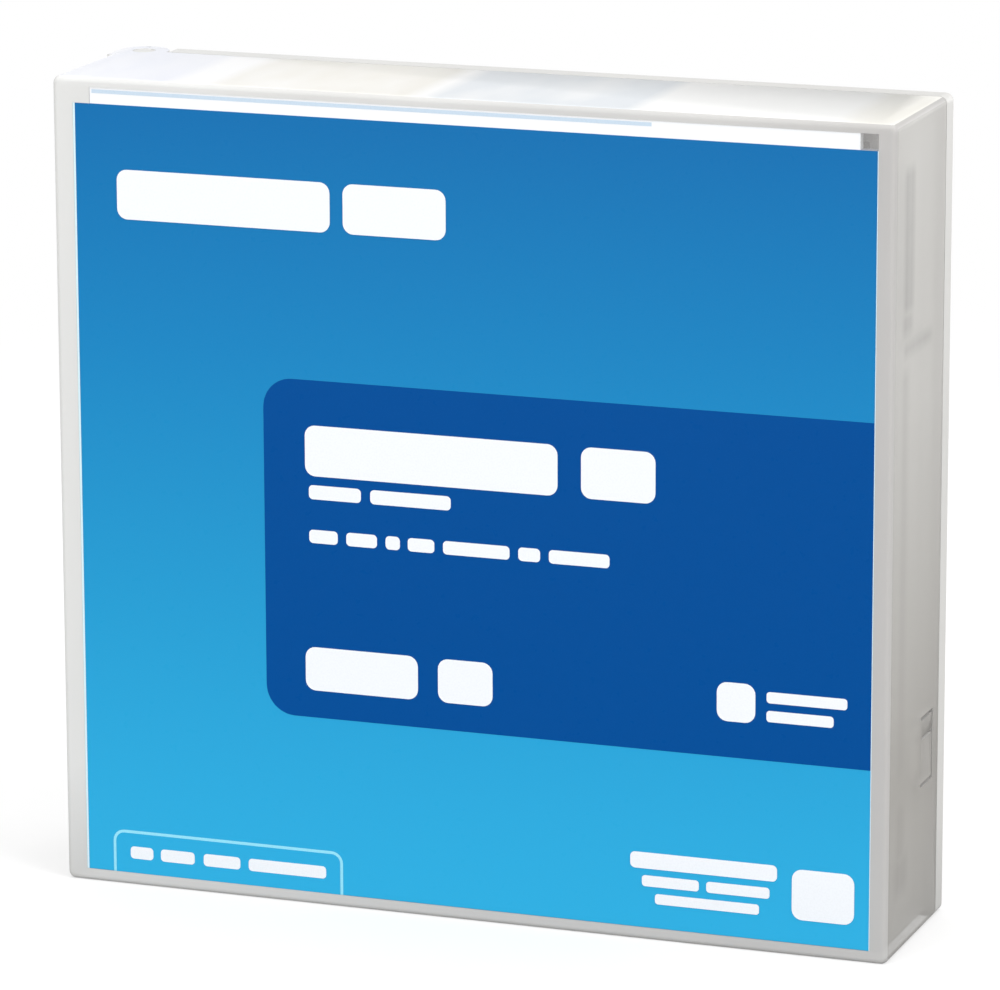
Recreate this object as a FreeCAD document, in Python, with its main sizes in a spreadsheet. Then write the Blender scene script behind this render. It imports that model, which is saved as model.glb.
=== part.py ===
import FreeCAD, Part
import math
import os
import re
import Sketcher

# Half-inch data tape cartridge, closed inside its hinged storage case. Millimetres.
#
# Row frame: X across the case, Y from the front panel (-) to the back panel (+), Z up, origin at the
# centre of the base. The case opens like a book on two pins at its left back edge.
#
# Cartridge pieces are drawn in the cartridge's own frame: x across, "along" from the label edge to the
# leading edge, and "rise" from the hub side to the top side. The cartridge stands in the case with its
# hub side to the back panel, so along is row +Z and rise is row -Y.

SIZES = {
    # room round the cartridge inside the case
    "spine_room": 3.6,
    "shell_side": 0.3,
    "shell_seat": 0.1,
    "head_room": 2.05,
    "front_room": 0.75,
    # storage case
    "case_wall": 1.2,
    "case_corner": 1.0,
    "case_edge": 0.7,
    "rim_depth": 3.6,
    "rim_gap": 0.2,
    "inner_wall": 1.0,
    "nest_gap": 0.3,
    "swing_gap": 2.3,
    "inner_wall_back": 3.1,
    "spine_back": 1.8,
    "rib_height": 1.0,
    "rib_width": 1.2,
    "rib_inset": 12.7,
    "post_length": 17.2,
    "side_post_inset": 20.0,
    "top_post_inset": 26.0,
    # hinge of the case
    "hinge_pin": 1.5,
    "hinge_fit": 0.05,
    "hinge_boss": 2.55,
    "pin_recess": 0.1,
    "ear_radius": 3.4,
    "ear_gap": 0.3,
    # cut-outs and latch in the right-hand walls
    "thumb_drop": 4.9,
    "thumb_length": 23.8,
    "thumb_depth": 4.2,
    "thumb_foot": 2.1,
    "thumb_rim": 4.4,
    "thumb_rim_rise": 0.4,
    "slot_drop": 1.8,
    "slot_length": 32.0,
    "slot_depth": 3.6,
    "slot_slope": 7.2,
    "wedge_top": 18.1,
    "wedge_bottom": 8.0,
    "wedge_depth": 8.6,
    "wedge_neck": 2.9,
    "latch_low": 19.8,
    "latch_width": 9.5,
    "latch_length": 4.9,
    "latch_back": 3.0,
    "latch_slit": 0.5,
    "latch_groove": 0.4,
    # insert card
    "card_thick": 0.3,
    "card_gap": 0.05,
    "card_hinge_margin": 2.9,
    "card_side_margin": 1.2,
    "card_base_margin": 0.5,
    "card_shoulder_drop": 2.15,
    "flap_inset": 2.4,
    "flap_length": 17.0,
    "card_tab": 1.7,
    "card_tab_thick": 0.6,
    "card_tab_width": 6.0,
    "card_tab_inset": 27.0,
    # cartridge shell
    "shell_wall": 2.0,
    "shell_corner": 3.0,
    "shell_edge": 0.8,
    "floor_room": 0.9,
    "roof_room": 1.45,
    "reel_room": 1.0,
    "spring_lane": 2.7,
    "notch_depth": 1.1,
    "notch_width": 5.6,
    "notch_along": 17.3,
    "label_depth": 0.3,
    "label_margin": 0.5,
    "label_side": 6.7,
    "label_width": 72.0,
    "groove_width": 0.9,
    "groove_depth": 0.5,
    "groove_length": 40.0,
    "groove_inset": 5.0,
    "groove_spread": 10.0,
    "groove_count": 6,
    # screws
    "screw_inset": 3.7,
    "screw_end_inset": 3.4,
    "screw_door_room": 8.1,
    "screw_chip_room": 17.7,
    "boss_radius": 2.9,
    "screw_head": 1.9,
    "screw_head_high": 1.4,
    "screw_shank": 0.9,
    "screw_fit": 0.1,
    "screw_sink": 4.0,
    "screw_bite": 5.0,
    # door
    "door_thick": 1.8,
    "door_fit": 0.3,
    "door_way": 22.0,
    "door_end_room": 3.0,
    "door_lap": 2.0,
    "door_sill": 1.0,
    "door_nose": 2.8,
    "door_nose_out": 1.8,
    "door_nose_gap": 0.8,
    "door_rib_thick": 0.8,
    "door_rib_high": 1.6,
    "door_rib_length": 33.0,
    "door_spring_radius": 0.85,
    "door_spring_wire": 0.17,
    "door_spring_length": 42.0,
    "door_spring_rise": 9.0,
    "spring_post": 1.2,
    # write-protect tab
    "tab_inset": 8.7,
    "tab_width": 8.5,
    "tab_thick": 1.5,
    "tab_height": 6.0,
    "tab_fit": 0.1,
    "tab_window_low": 2.1,
    "tab_window_high": 4.3,
    "tab_window_width": 10.0,
    "tab_window_inset": 1.0,
    "tab_nub_width": 4.0,
    "tab_nub_gap": 0.3,
    "tab_travel": 5.5,
    # memory chip
    "chip_inset": 7.0,
    "chip_length": 12.0,
    "chip_height": 8.0,
    "chip_thick": 0.8,
    "chip_fit": 0.1,
    "chip_rib": 0.9,
    "die_size": 3.0,
    "die_rise": 0.4,
    # reel
    "reel_radius": 48.0,
    "flange_thick": 1.1,
    "tape_width": 12.65,
    "tape_gap": 0.15,
    "tape_margin": 2.0,
    "hub_radius": 22.0,
    "hub_wall": 3.0,
    "web_rise": 0.6,
    "web_thick": 1.8,
    "gear_in": 13.8,
    "gear_out": 17.2,
    "gear_land": 0.1,
    "gear_face": 1.7,
    "gear_tooth": 1.0,
    "gear_teeth": 24,
    "hub_opening_gap": 0.8,
    "dust_lip": 1.2,
    "dust_lip_rise": 0.5,
    "brake_in": 13.0,
    "brake_out": 16.0,
    "brake_tooth": 1.2,
    "brake_teeth": 12,
    "plate_gap": 0.4,
    "plate_hole": 3.3,
    "plate_thick": 1.2,
    "leg_circle": 9.5,
    "leg_half": 1.3,
    "leg_fit": 0.1,
    # reel lock and release pad
    "lock_lift": 1.1,
    "lock_clear": 0.15,
    "lock_land": 0.6,
    "lock_disc_thick": 2.0,
    "lock_column": 6.9,
    "lock_column_high": 4.2,
    "key_long": 9.6,
    "key_wide": 2.4,
    "key_fit": 0.1,
    "key_reach": 2.5,
    "lock_spring_gap": 0.55,
    "lock_spring_wire": 0.45,
    "pad_gap": 1.2,
    "pad_thick": 1.0,
    "touch_gap": 0.05,
    "nib_radius": 1.0,
    # leader
    "pin_room": 4.0,
    "pin_back": 10.0,
    "pin_radius": 1.0,
    "pin_head": 1.5,
    "pin_head_high": 1.2,
    "clip_sheet": 0.4,
    "clip_length": 8.0,
    "clip_width": 4.6,
    "clip_fit": 0.1,
    "clamp_thick": 0.6,
    "clamp_fit": 0.02,
    "clamp_mouth": 1.4,
    "leader_thick": 0.25,
    "leader_gap": 0.15,
}

# Sizes that follow from the ones above. The shell is sized round the reel, and the case round the shell.
DERIVED = {
    "shell_width": "2 * (reel_radius + spring_lane + shell_wall)",
    "shell_length": "2 * (reel_radius + reel_room + shell_wall)",
    "shell_height": "upper_flange_low + flange_thick + roof_room + shell_wall",
    "shell_split": "shell_height / 2",
    "case_width": "2 * case_wall + spine_room + shell_width + shell_side + inner_wall + swing_gap",
    "case_height": "2 * (case_wall + nest_gap + inner_wall) + shell_seat + shell_length + head_room"
                   " + card_thick + card_gap",
    "case_depth": "2 * case_wall + card_gap + card_thick + front_room + shell_height + rib_height",
    "front_y": "-case_depth / 2",
    "back_y": "case_depth / 2",
    "panel_back_y": "back_y - case_wall",
    "panel_front_y": "front_y + case_wall",
    "rim_y": "back_y - rim_depth",
    "lid_back_y": "rim_y - rim_gap",
    "right_x": "case_width / 2",
    "lid_inside_x": "right_x - case_wall",
    "tray_right_x": "lid_inside_x - swing_gap",
    "tray_low_z": "case_wall + nest_gap",
    "flap_top_z": "case_height - case_wall - card_gap",
    "tray_top_z": "flap_top_z - card_thick - nest_gap",
    "tray_front_y": "front_y + inner_wall_back",
    "spine_front_y": "front_y + spine_back",
    "hinge_x": "ear_radius - right_x",
    "hinge_y": "back_y - ear_radius",
    "recess_x": "hinge_x + ear_radius + ear_gap",
    "thumb_top": "case_height - thumb_drop",
    "thumb_bottom": "thumb_top - thumb_length",
    "slot_top": "thumb_bottom - slot_drop",
    "slot_bottom": "slot_top - slot_length",
    "latch_high": "latch_low + latch_width",
    "latch_far_y": "lid_back_y - latch_back",
    "latch_near_y": "latch_far_y - latch_length",
    "card_left": "right_x - card_hinge_margin",
    "card_right": "lid_inside_x - card_side_margin",
    "card_bottom": "case_wall + card_base_margin",
    "card_shoulder": "flap_top_z - card_shoulder_drop",
    "card_front_y": "panel_front_y + card_gap",
    "card_back_y": "card_front_y + card_thick",
    "cartridge_x": "-right_x + case_wall + spine_room + shell_x",
    "cartridge_y": "panel_back_y - rib_height",
    "cartridge_z": "tray_low_z + inner_wall + shell_seat + shell_z",
    "shell_x": "shell_width / 2",
    "shell_z": "shell_length / 2",
    "inside_x": "shell_x - shell_wall",
    "inside_z": "shell_z - shell_wall",
    "roof": "shell_height - shell_wall",
    "screw_left": "inside_x - screw_inset",
    "screw_along": "inside_z - screw_end_inset",
    "screw_right": "door_in - screw_door_room",
    "screw_rear_right": "inside_x - screw_chip_room",
    "door_out": "inside_x - door_fit",
    "door_in": "door_out - door_thick",
    "door_high": "inside_z - door_end_room",
    "door_low": "door_high - door_way",
    "door_tail": "door_low - door_lap",
    "door_tip": "door_high + door_lap",
    "door_floor": "shell_wall + door_sill",
    "door_lintel": "roof - door_sill",
    "spring_end": "door_tail - door_spring_length",
    "tab_left": "inside_x - tab_inset",
    "tab_out": "inside_z - tab_fit",
    "flange_low": "shell_wall + floor_room",
    "tape_low": "flange_low + flange_thick + tape_gap",
    "tape_high": "tape_low + tape_width",
    "tape_outer": "reel_radius - tape_margin",
    "upper_flange_low": "tape_high + tape_gap",
    "hub_bore": "hub_radius - hub_wall",
    "hub_opening": "gear_out + hub_opening_gap",
    "web_low": "flange_low + flange_thick + web_rise",
    "web_top": "web_low + web_thick",
    "brake_top": "web_top + brake_tooth",
    "plate_radius": "gear_in - plate_gap",
    "pad_radius": "brake_in - pad_gap",
    "pad_low": "web_top + touch_gap + lock_lift",
    "pad_top": "pad_low + pad_thick",
    "lock_teeth_low": "brake_top + lock_clear",
    "lock_disc": "brake_out + lock_land",
    "lock_low": "lock_teeth_low + brake_tooth",
    "lock_top": "lock_low + lock_disc_thick",
    "column_top": "lock_top + lock_column_high",
    "lock_spring_radius": "lock_column + lock_spring_gap + lock_spring_wire",
    "pin_across": "door_in - pin_room",
    "pin_along": "door_high - pin_back",
    "leader_lift": "tape_outer + leader_gap",
    "leader_reach": "sqrt(pin_across ^ 2 + pin_along ^ 2)",
    "leader_turn": "atan(pin_along / pin_across) + acos(leader_lift / leader_reach)",
    "leader_length": "sqrt(leader_reach ^ 2 - leader_lift ^ 2) - pin_radius - clamp_thick - leader_gap / 2",
}

WORD = re.compile(r"[a-z]\w*")
DOC = FreeCAD.newDocument("TapeCartridge")
SHEET = DOC.addObject("Spreadsheet::Sheet", "Sizes")
PARTS = []


def fill_sheet():
    """Write every driving size into the sheet, one row each, with its alias."""
    for row, (name, size) in enumerate(SIZES.items(), start=1):
        SHEET.set("A%d" % row, name)
        SHEET.set("B%d" % row, str(size))
        SHEET.setAlias("B%d" % row, name)
    DOC.recompute()


def bound(text):
    """Turn a formula in size names into an expression on the sheet's cells."""
    def swap(match):
        word = match.group()
        if word in DERIVED:
            return "(" + bound(DERIVED[word]) + ")"
        return "Sizes." + word if word in SIZES else word
    return WORD.sub(swap, str(text))


def value(text):
    """Number that a formula in size names gives now."""
    return float(SHEET.evalExpression(bound(text)))


def box(low_x, high_x, low_y, high_y):
    """Corners of an upright rectangle."""
    return [(low_x, low_y), (high_x, low_y), (high_x, high_y), (low_x, high_y)]


def slanted_box(middle_x, middle_y, angle, half_length, low, high):
    """Corners of a rectangle turned by an angle; low and high are its edges across its length."""
    corners = []
    for side, across in (("-", low), ("", low), ("", high), ("-", high)):
        reach = "%s(%s)" % (side, half_length)
        x = "%s + %s * cos(%s) - (%s) * sin(%s)" % (middle_x, reach, angle, across, angle)
        y = "%s + %s * sin(%s) + (%s) * cos(%s)" % (middle_y, reach, angle, across, angle)
        corners.append((x, y))
    return corners


def tooth(inner, outer, count, middle, share):
    """Corners of a radial tooth at an angle of middle pitches, as wide as its share of a pitch."""
    corners = []
    for radius, side in ((inner, -1), (outer, -1), (outer, 1), (inner, 1)):
        angle = "((%s + %s) * 360deg / %s)" % (middle, side * share / 2, count)
        corners.append(("(%s) * cos%s" % (radius, angle), "(%s) * sin%s" % (radius, angle)))
    return corners


def turned(corners):
    """Corners given as radius and rise, for a profile turned about the reel's axis."""
    return [(radius, "-(%s)" % rise) for radius, rise in corners]


CARTRIDGE = ("cartridge_x", "cartridge_y", "cartridge_z")
# Share of a pitch that a tooth fills at its root, and the slope of its flanks in degrees.
TOOTH_SHARE = 0.42
TOOTH_DRAFT = 12.0


class Piece:
    """A PartDesign body. Its sketches and features take every size from the sheet."""

    def __init__(self, name, place=("0", "0", "0")):
        self.body = DOC.addObject("PartDesign::Body", name)
        self.body.Label = name
        for axis, text in zip("xyz", place):
            self.body.setExpression("Placement.Base." + axis, bound(text))
        PARTS.append(self.body)

    def origin(self, role):
        return next(f for f in self.body.Origin.OriginFeatures if f.Role == role)

    def sketch(self, plane, level, polygons=(), circles=()):
        """Closed polygons and circles (x, y, radius) on a plane, offset along its normal."""
        sketch = self.body.newObject("Sketcher::SketchObject", self.body.Name + "_sketch")
        sketch.AttachmentSupport = [(self.origin(plane), "")]
        sketch.MapMode = "FlatFace"
        sketch.setExpression("AttachmentOffset.Base.z", bound(level))
        for corners in polygons:
            self.add_polygon(sketch, corners)
        for x, y, radius in circles:
            self.add_circle(sketch, x, y, radius)
        return sketch

    def add_polygon(self, sketch, corners):
        first = sketch.GeometryCount
        count = len(corners)
        points = [FreeCAD.Vector(value(x), value(y), 0) for x, y in corners]
        for index, point in enumerate(points):
            sketch.addGeometry(Part.LineSegment(point, points[(index + 1) % count]))
        for index in range(count):
            following = first + (index + 1) % count
            sketch.addConstraint(Sketcher.Constraint("Coincident", first + index, 2, following, 1))
        for index, (x, y) in enumerate(corners):
            self.pin_down(sketch, "DistanceX", (first + index, 1), x)
            self.pin_down(sketch, "DistanceY", (first + index, 1), y)

    def add_circle(self, sketch, x, y, radius):
        centre = FreeCAD.Vector(value(x), value(y), 0)
        index = sketch.addGeometry(Part.Circle(centre, FreeCAD.Vector(0, 0, 1), value(radius)))
        self.pin_down(sketch, "Radius", (index,), radius)
        self.pin_down(sketch, "DistanceX", (index, 3), x)
        self.pin_down(sketch, "DistanceY", (index, 3), y)

    @staticmethod
    def pin_down(sketch, kind, where, text):
        row = sketch.addConstraint(Sketcher.Constraint(kind, *where, value(text)))
        sketch.setExpression("Constraints[%d]" % row, bound(text))

    def extrude(self, kind, sketch, length, flip=False):
        feature = self.body.newObject(kind, self.body.Name + "_" + kind.split("::")[1].lower())
        feature.Profile = sketch
        feature.setExpression("Length", bound(length))
        feature.Reversed = flip
        sketch.Visibility = False
        return feature

    def pad(self, plane, level, length, polygons=(), circles=(), flip=False):
        """Add material from the level along the plane's normal, or against it with flip."""
        return self.extrude("PartDesign::Pad", self.sketch(plane, level, polygons, circles), length, flip)

    def cut(self, plane, level, length, polygons=(), circles=(), flip=False):
        """Cut from the level against the plane's normal, or along it with flip."""
        return self.extrude("PartDesign::Pocket", self.sketch(plane, level, polygons, circles), length, flip)

    def turn(self, kind, corners):
        """Revolve, or groove, a profile of radius and rise about the reel's axis."""
        sketch = self.sketch("XY_Plane", "0", [turned(corners)])
        feature = self.body.newObject(kind, self.body.Name + "_turn")
        feature.Profile = sketch
        feature.ReferenceAxis = (sketch, ["V_Axis"])
        feature.Angle = 360.0
        return feature

    def around(self, feature, count):
        """Repeat a feature around the reel's axis."""
        pattern = self.body.newObject("PartDesign::PolarPattern", self.body.Name + "_around")
        pattern.Originals = [feature]
        pattern.Axis = (self.origin("Y_Axis"), [""])
        pattern.Angle = 360.0
        pattern.setExpression("Occurrences", bound(count))
        self.body.Tip = pattern
        return pattern

    def along(self, feature, axis, length, count):
        """Repeat a feature in a row."""
        pattern = self.body.newObject("PartDesign::LinearPattern", self.body.Name + "_along")
        pattern.Originals = [feature]
        pattern.Direction = (self.origin(axis), [""])
        pattern.setExpression("Length", bound(length))
        pattern.setExpression("Occurrences", bound(count))
        self.body.Tip = pattern
        return pattern

    def soften(self, kind, size, wanted):
        """Fillet or chamfer the edges whose bounding box passes the test."""
        DOC.recompute()
        base = self.body.Tip
        names = ["Edge%d" % (n + 1) for n, edge in enumerate(base.Shape.Edges) if wanted(edge.BoundBox)]
        feature = self.body.newObject(kind, self.body.Name + "_edges")
        feature.Base = (base, names)
        feature.setExpression("Radius" if kind.endswith("Fillet") else "Size", bound(size))
        return feature

    def fillet(self, size, wanted):
        return self.soften("PartDesign::Fillet", size, wanted)

    def chamfer(self, size, wanted):
        return self.soften("PartDesign::Chamfer", size, wanted)


def near(number, text):
    return abs(abs(number) - value(text)) < 0.001


def upright_corner(half_x, low_z, high_z):
    """Test for the edges along Y at the corners of an outline."""
    low, high = value(low_z), value(high_z)

    def test(edge):
        at_side = near(edge.XMin, half_x) and edge.XLength < 0.001
        at_end = min(abs(edge.ZMin - low), abs(edge.ZMin - high)) < 0.001 and edge.ZLength < 0.001
        return at_side and at_end
    return test


def flat_at_y(level):
    """Test for the edges that lie flat at one Y level."""
    here = value(level)
    return lambda edge: abs(edge.YMin - here) < 0.001 and edge.YLength < 0.001


def make_case_lid():
    """Front half: front panel with its top, bottom and right walls, and two ears round the pins."""
    lid = Piece("case_lid")
    outline = box("-right_x", "right_x", "0", "case_height")
    lid.pad("XZ_Plane", "-(lid_back_y)", "lid_back_y - front_y", [outline])
    lid.fillet("case_corner", upright_corner("right_x", "0", "case_height"))
    lid.fillet("case_edge", flat_at_y("front_y"))
    hollow = box("-right_x - case_wall", "lid_inside_x", "case_wall", "case_height - case_wall")
    lid.cut("XZ_Plane", "-(lid_back_y)", "lid_back_y - panel_front_y", [hollow], flip=True)
    for level in ("0", "case_height - case_wall"):
        root = box("-right_x", "hinge_x + ear_radius", "hinge_y - ear_radius - case_wall", "hinge_y")
        lid.pad("XY_Plane", level, "case_wall", [root])
        lid.pad("XY_Plane", level, "case_wall", circles=[("hinge_x", "hinge_y", "ear_radius")])
        bore = [("hinge_x", "hinge_y", "hinge_pin + hinge_fit")]
        lid.cut("XY_Plane", level, "case_wall", circles=bore, flip=True)
    make_latch_slits(lid)
    make_card_tabs(lid)
    return lid


def make_latch_slits(lid):
    """Springy tongue in the lid's right wall: slits above, below and behind it, and a grip groove."""
    slits = [
        box("latch_near_y", "latch_far_y", "latch_low", "latch_low + latch_slit"),
        box("latch_near_y", "latch_far_y", "latch_high - latch_slit", "latch_high"),
        box("latch_far_y", "latch_far_y + latch_slit", "latch_low", "latch_high"),
    ]
    for slit in slits:
        lid.cut("YZ_Plane", "right_x + case_wall", "case_wall * 3", [slit])
    groove_z = "latch_high - latch_width / 3"
    groove = box("latch_near_y + latch_slit", "latch_far_y", groove_z, groove_z + " + latch_slit")
    lid.cut("YZ_Plane", "right_x", "latch_groove", [groove])


def make_card_tabs(lid):
    """Small shelves that keep the card against the front panel."""
    level = "-(card_back_y + card_gap)"
    half = "card_tab_width / 2"
    for middle in ("card_tab_inset", "case_height - card_tab_inset"):
        tab = box("lid_inside_x - card_tab", "right_x - case_wall / 2",
                  "%s - %s" % (middle, half), "%s + %s" % (middle, half))
        lid.pad("XZ_Plane", level, "card_tab_thick", [tab], flip=True)
    for middle in ("card_tab_inset - right_x", "right_x - card_tab_inset"):
        tab = box("%s - %s" % (middle, half), "%s + %s" % (middle, half),
                  "case_wall / 2", "case_wall + card_tab")
        lid.pad("XZ_Plane", level, "card_tab_thick", [tab], flip=True)


def make_case_tray():
    """Back half: panel with its rim, the spine and inner walls that stand inside the lid, the pins."""
    tray = Piece("case_tray")
    outline = box("-right_x", "right_x", "0", "case_height")
    tray.pad("XZ_Plane", "-(back_y)", "rim_depth", [outline])
    tray.fillet("case_corner", upright_corner("right_x", "0", "case_height"))
    tray.fillet("case_edge", flat_at_y("back_y"))
    hollow = box("-right_x + case_wall", "right_x - case_wall", "case_wall", "case_height - case_wall")
    tray.cut("XZ_Plane", "-(rim_y)", "rim_depth - case_wall", [hollow])
    walls_out = box("-right_x", "tray_right_x", "tray_low_z", "tray_top_z")
    walls_in = box("-right_x + case_wall", "tray_right_x - inner_wall",
                   "tray_low_z + inner_wall", "tray_top_z - inner_wall")
    tray.pad("XZ_Plane", "-(panel_back_y)", "panel_back_y - tray_front_y", [walls_out, walls_in])
    spine = box("-right_x", "-right_x + case_wall", "tray_low_z", "tray_top_z")
    tray.pad("XZ_Plane", "-(tray_front_y)", "tray_front_y - spine_front_y", [spine])
    make_ear_recesses(tray)
    make_cut_outs(tray)
    make_ribs(tray)
    make_hinge_pins(tray)
    return tray


def make_ear_recesses(tray):
    """The rim steps back where the lid's ears swing."""
    across = box("-right_x - case_wall", "recess_x", "rim_y - case_wall", "back_y + case_wall")
    tray.cut("XY_Plane", "tray_low_z", "tray_low_z + case_wall", [across])
    top = "case_height - case_wall - nest_gap"
    tray.cut("XY_Plane", top, "tray_low_z + case_wall", [across], flip=True)


def make_cut_outs(tray):
    """Thumb cut-out with its raised rim, long shallow cut-out and wedge, all in the right wall."""
    rim_foot = "thumb_depth + thumb_rim + thumb_foot + 0.5"
    rim = [("tray_front_y", "thumb_top + thumb_rim / 4"),
           ("tray_front_y + thumb_depth + thumb_rim", "thumb_top - thumb_rim"),
           ("tray_front_y + " + rim_foot, "thumb_bottom + thumb_rim / 4"),
           ("tray_front_y", "thumb_bottom - thumb_rim / 4")]
    tray.pad("YZ_Plane", "tray_right_x", "thumb_rim_rise", [rim])
    edge = "tray_front_y - case_wall"
    thumb = [(edge, "thumb_top"),
             ("tray_front_y + thumb_depth", "thumb_top - thumb_rim / 2"),
             ("tray_front_y + thumb_depth", "thumb_bottom + thumb_rim"),
             ("tray_front_y + thumb_depth + thumb_foot", "thumb_bottom + thumb_rim / 3"),
             (edge, "thumb_bottom")]
    slot = [(edge, "slot_top"),
            ("tray_front_y + slot_depth", "slot_top - slot_slope / 8"),
            ("tray_front_y + slot_depth", "slot_bottom + slot_slope"),
            (edge, "slot_bottom")]
    wedge = [(edge, "wedge_top"),
             ("tray_front_y + wedge_neck", "wedge_top"),
             ("tray_front_y + wedge_depth", "wedge_bottom - 1"),
             (edge, "wedge_bottom")]
    for hole in (thumb, slot, wedge):
        tray.cut("YZ_Plane", "tray_right_x + case_wall", "inner_wall + case_wall * 1.5", [hole])


def make_ribs(tray):
    """Ribs that the cartridge lies against, and a nub behind the latch."""
    low, high = "tray_low_z + inner_wall / 2", "tray_top_z - inner_wall / 2"
    half = "rib_width / 2"
    for middle in ("cartridge_x - shell_x + rib_inset", "cartridge_x + shell_x - rib_inset"):
        rib = box("%s - %s" % (middle, half), "%s + %s" % (middle, half), low, high)
        tray.pad("XZ_Plane", "-(panel_back_y)", "rib_height", [rib])
    for middle in ("side_post_inset", "case_height - side_post_inset"):
        post = box("-right_x + case_wall / 2", "cartridge_x - shell_x - shell_seat",
                   "%s - %s" % (middle, half), "%s + %s" % (middle, half))
        tray.pad("XZ_Plane", "-(panel_back_y)", "post_length", [post])
    for middle in ("cartridge_x - top_post_inset", "cartridge_x + top_post_inset"):
        post = box("%s - %s" % (middle, half), "%s + %s" % (middle, half),
                   "cartridge_z + shell_z + shell_seat", high)
        tray.pad("XZ_Plane", "-(panel_back_y)", "post_length", [post])
    nub = box("latch_near_y + latch_slit", "latch_far_y - latch_slit",
              "latch_low + 2 * latch_slit", "latch_high - 2 * latch_slit")
    tray.pad("YZ_Plane", "tray_right_x", "swing_gap - nest_gap", [nub])


def make_hinge_pins(tray):
    """Pins that stand up and down from the tray's top and bottom walls into the lid's ears."""
    pin = [("hinge_x", "hinge_y", "hinge_pin")]
    low = "tray_low_z + inner_wall / 2"
    tray.pad("XY_Plane", low, low + " - pin_recess", circles=pin, flip=True)
    high = "tray_top_z - inner_wall / 2"
    boss = [("hinge_x", "hinge_y", "hinge_boss")]
    tray.pad("XY_Plane", high, "case_height - case_wall - nest_gap - (%s)" % high, circles=boss)
    tray.pad("XY_Plane", high, "case_height - pin_recess - (%s)" % high, circles=pin)


def make_insert_card():
    """One folded sheet: the front, narrower shoulders at the fold, and the top flap."""
    card = Piece("insert_card")
    flap_left, flap_right = "-card_left + flap_inset", "card_right - flap_inset"
    front = [("-card_left", "card_bottom"), ("card_right", "card_bottom"),
             ("card_right", "card_shoulder"), (flap_right, "card_shoulder"),
             (flap_right, "flap_top_z"), (flap_left, "flap_top_z"),
             (flap_left, "card_shoulder"), ("-card_left", "card_shoulder")]
    card.pad("XZ_Plane", "-(card_back_y)", "card_thick", [front])
    flap = box(flap_left, flap_right, "card_front_y", "card_front_y + flap_length")
    card.pad("XY_Plane", "flap_top_z - card_thick", "card_thick", [flap])
    fold_y, fold_z = value("card_front_y"), value("flap_top_z")

    def at_fold(edge):
        return abs(edge.YMin - fold_y) + abs(edge.ZMin - fold_z) + edge.YLength + edge.ZLength < 0.001
    card.fillet("card_thick * 0.9", at_fold)
    return card


SCREW_PLACES = [("-screw_left", "screw_along"), ("screw_right", "screw_along"),
                ("-screw_left", "-screw_along"), ("screw_rear_right", "-screw_along")]


def shell_outline():
    return box("-shell_x", "shell_x", "-shell_z", "shell_z")


def shell_hollow():
    return box("-inside_x", "inside_x", "-inside_z", "inside_z")


def cut_door_way(shell, low, high):
    """Door opening in the right wall, between two rises."""
    door_way = box("-(%s)" % high, "-(%s)" % low, "door_low", "door_high")
    shell.cut("YZ_Plane", "shell_x + shell_wall", "shell_wall * 2.5", [door_way])


def cut_gripper_notches(shell, level, length):
    """Notch in each side wall, where a library's picker holds the cartridge."""
    low, high = "-shell_z + notch_along", "-shell_z + notch_along + notch_width"
    for near_x, far_x in (("-shell_x - shell_wall", "-shell_x + notch_depth"),
                          ("shell_x - notch_depth", "shell_x + shell_wall")):
        shell.cut("XZ_Plane", level, length, [box(near_x, far_x, low, high)], flip=True)


def make_lower_shell():
    """Hub-side half: floor with the hub opening, door track, tab rail, chip holder, screw bosses."""
    shell = Piece("lower_shell", CARTRIDGE)
    shell.pad("XZ_Plane", "0", "shell_split", [shell_outline()])
    shell.fillet("shell_corner", upright_corner("shell_x", "-shell_z", "shell_z"))
    shell.chamfer("shell_edge", flat_at_y("0"))
    shell.cut("XZ_Plane", "shell_wall", "shell_split - shell_wall", [shell_hollow()], flip=True)
    for x, along in SCREW_PLACES:
        shell.pad("XZ_Plane", "shell_wall / 2", "shell_split - shell_wall / 2",
                  circles=[(x, along, "boss_radius")])
        shell.cut("XZ_Plane", "0", "screw_sink", flip=True,
                  circles=[(x, along, "screw_head + screw_fit * 2")])
        shell.cut("XZ_Plane", "0", "shell_split", flip=True,
                  circles=[(x, along, "screw_shank + screw_fit")])
    lip = [("0", "0", "hub_opening + dust_lip")]
    shell.pad("XZ_Plane", "shell_wall / 2", "shell_wall / 2 + dust_lip_rise", circles=lip)
    shell.cut("XZ_Plane", "0", "shell_wall * 2", circles=[("0", "0", "hub_opening")], flip=True)
    cut_door_way(shell, "door_floor", "shell_split + shell_wall")
    cut_gripper_notches(shell, "0", "shell_split")
    make_door_track(shell)
    make_tab_rail(shell)
    make_chip_holder(shell)
    return shell


def make_door_track(shell):
    """Rib inside the door's path, and the post that the door's spring pushes against."""
    rib = box("door_in - door_fit - door_rib_thick", "door_in - door_fit",
              "inside_z - door_rib_length", "inside_z + shell_wall / 4")
    shell.pad("XZ_Plane", "shell_wall / 2", "shell_wall / 2 + door_rib_high", [rib])
    post = box("door_in", "inside_x + shell_wall / 4", "spring_end - spring_post", "spring_end")
    shell.pad("XZ_Plane", "shell_wall / 2", "shell_split - shell_wall / 2", [post])


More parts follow.
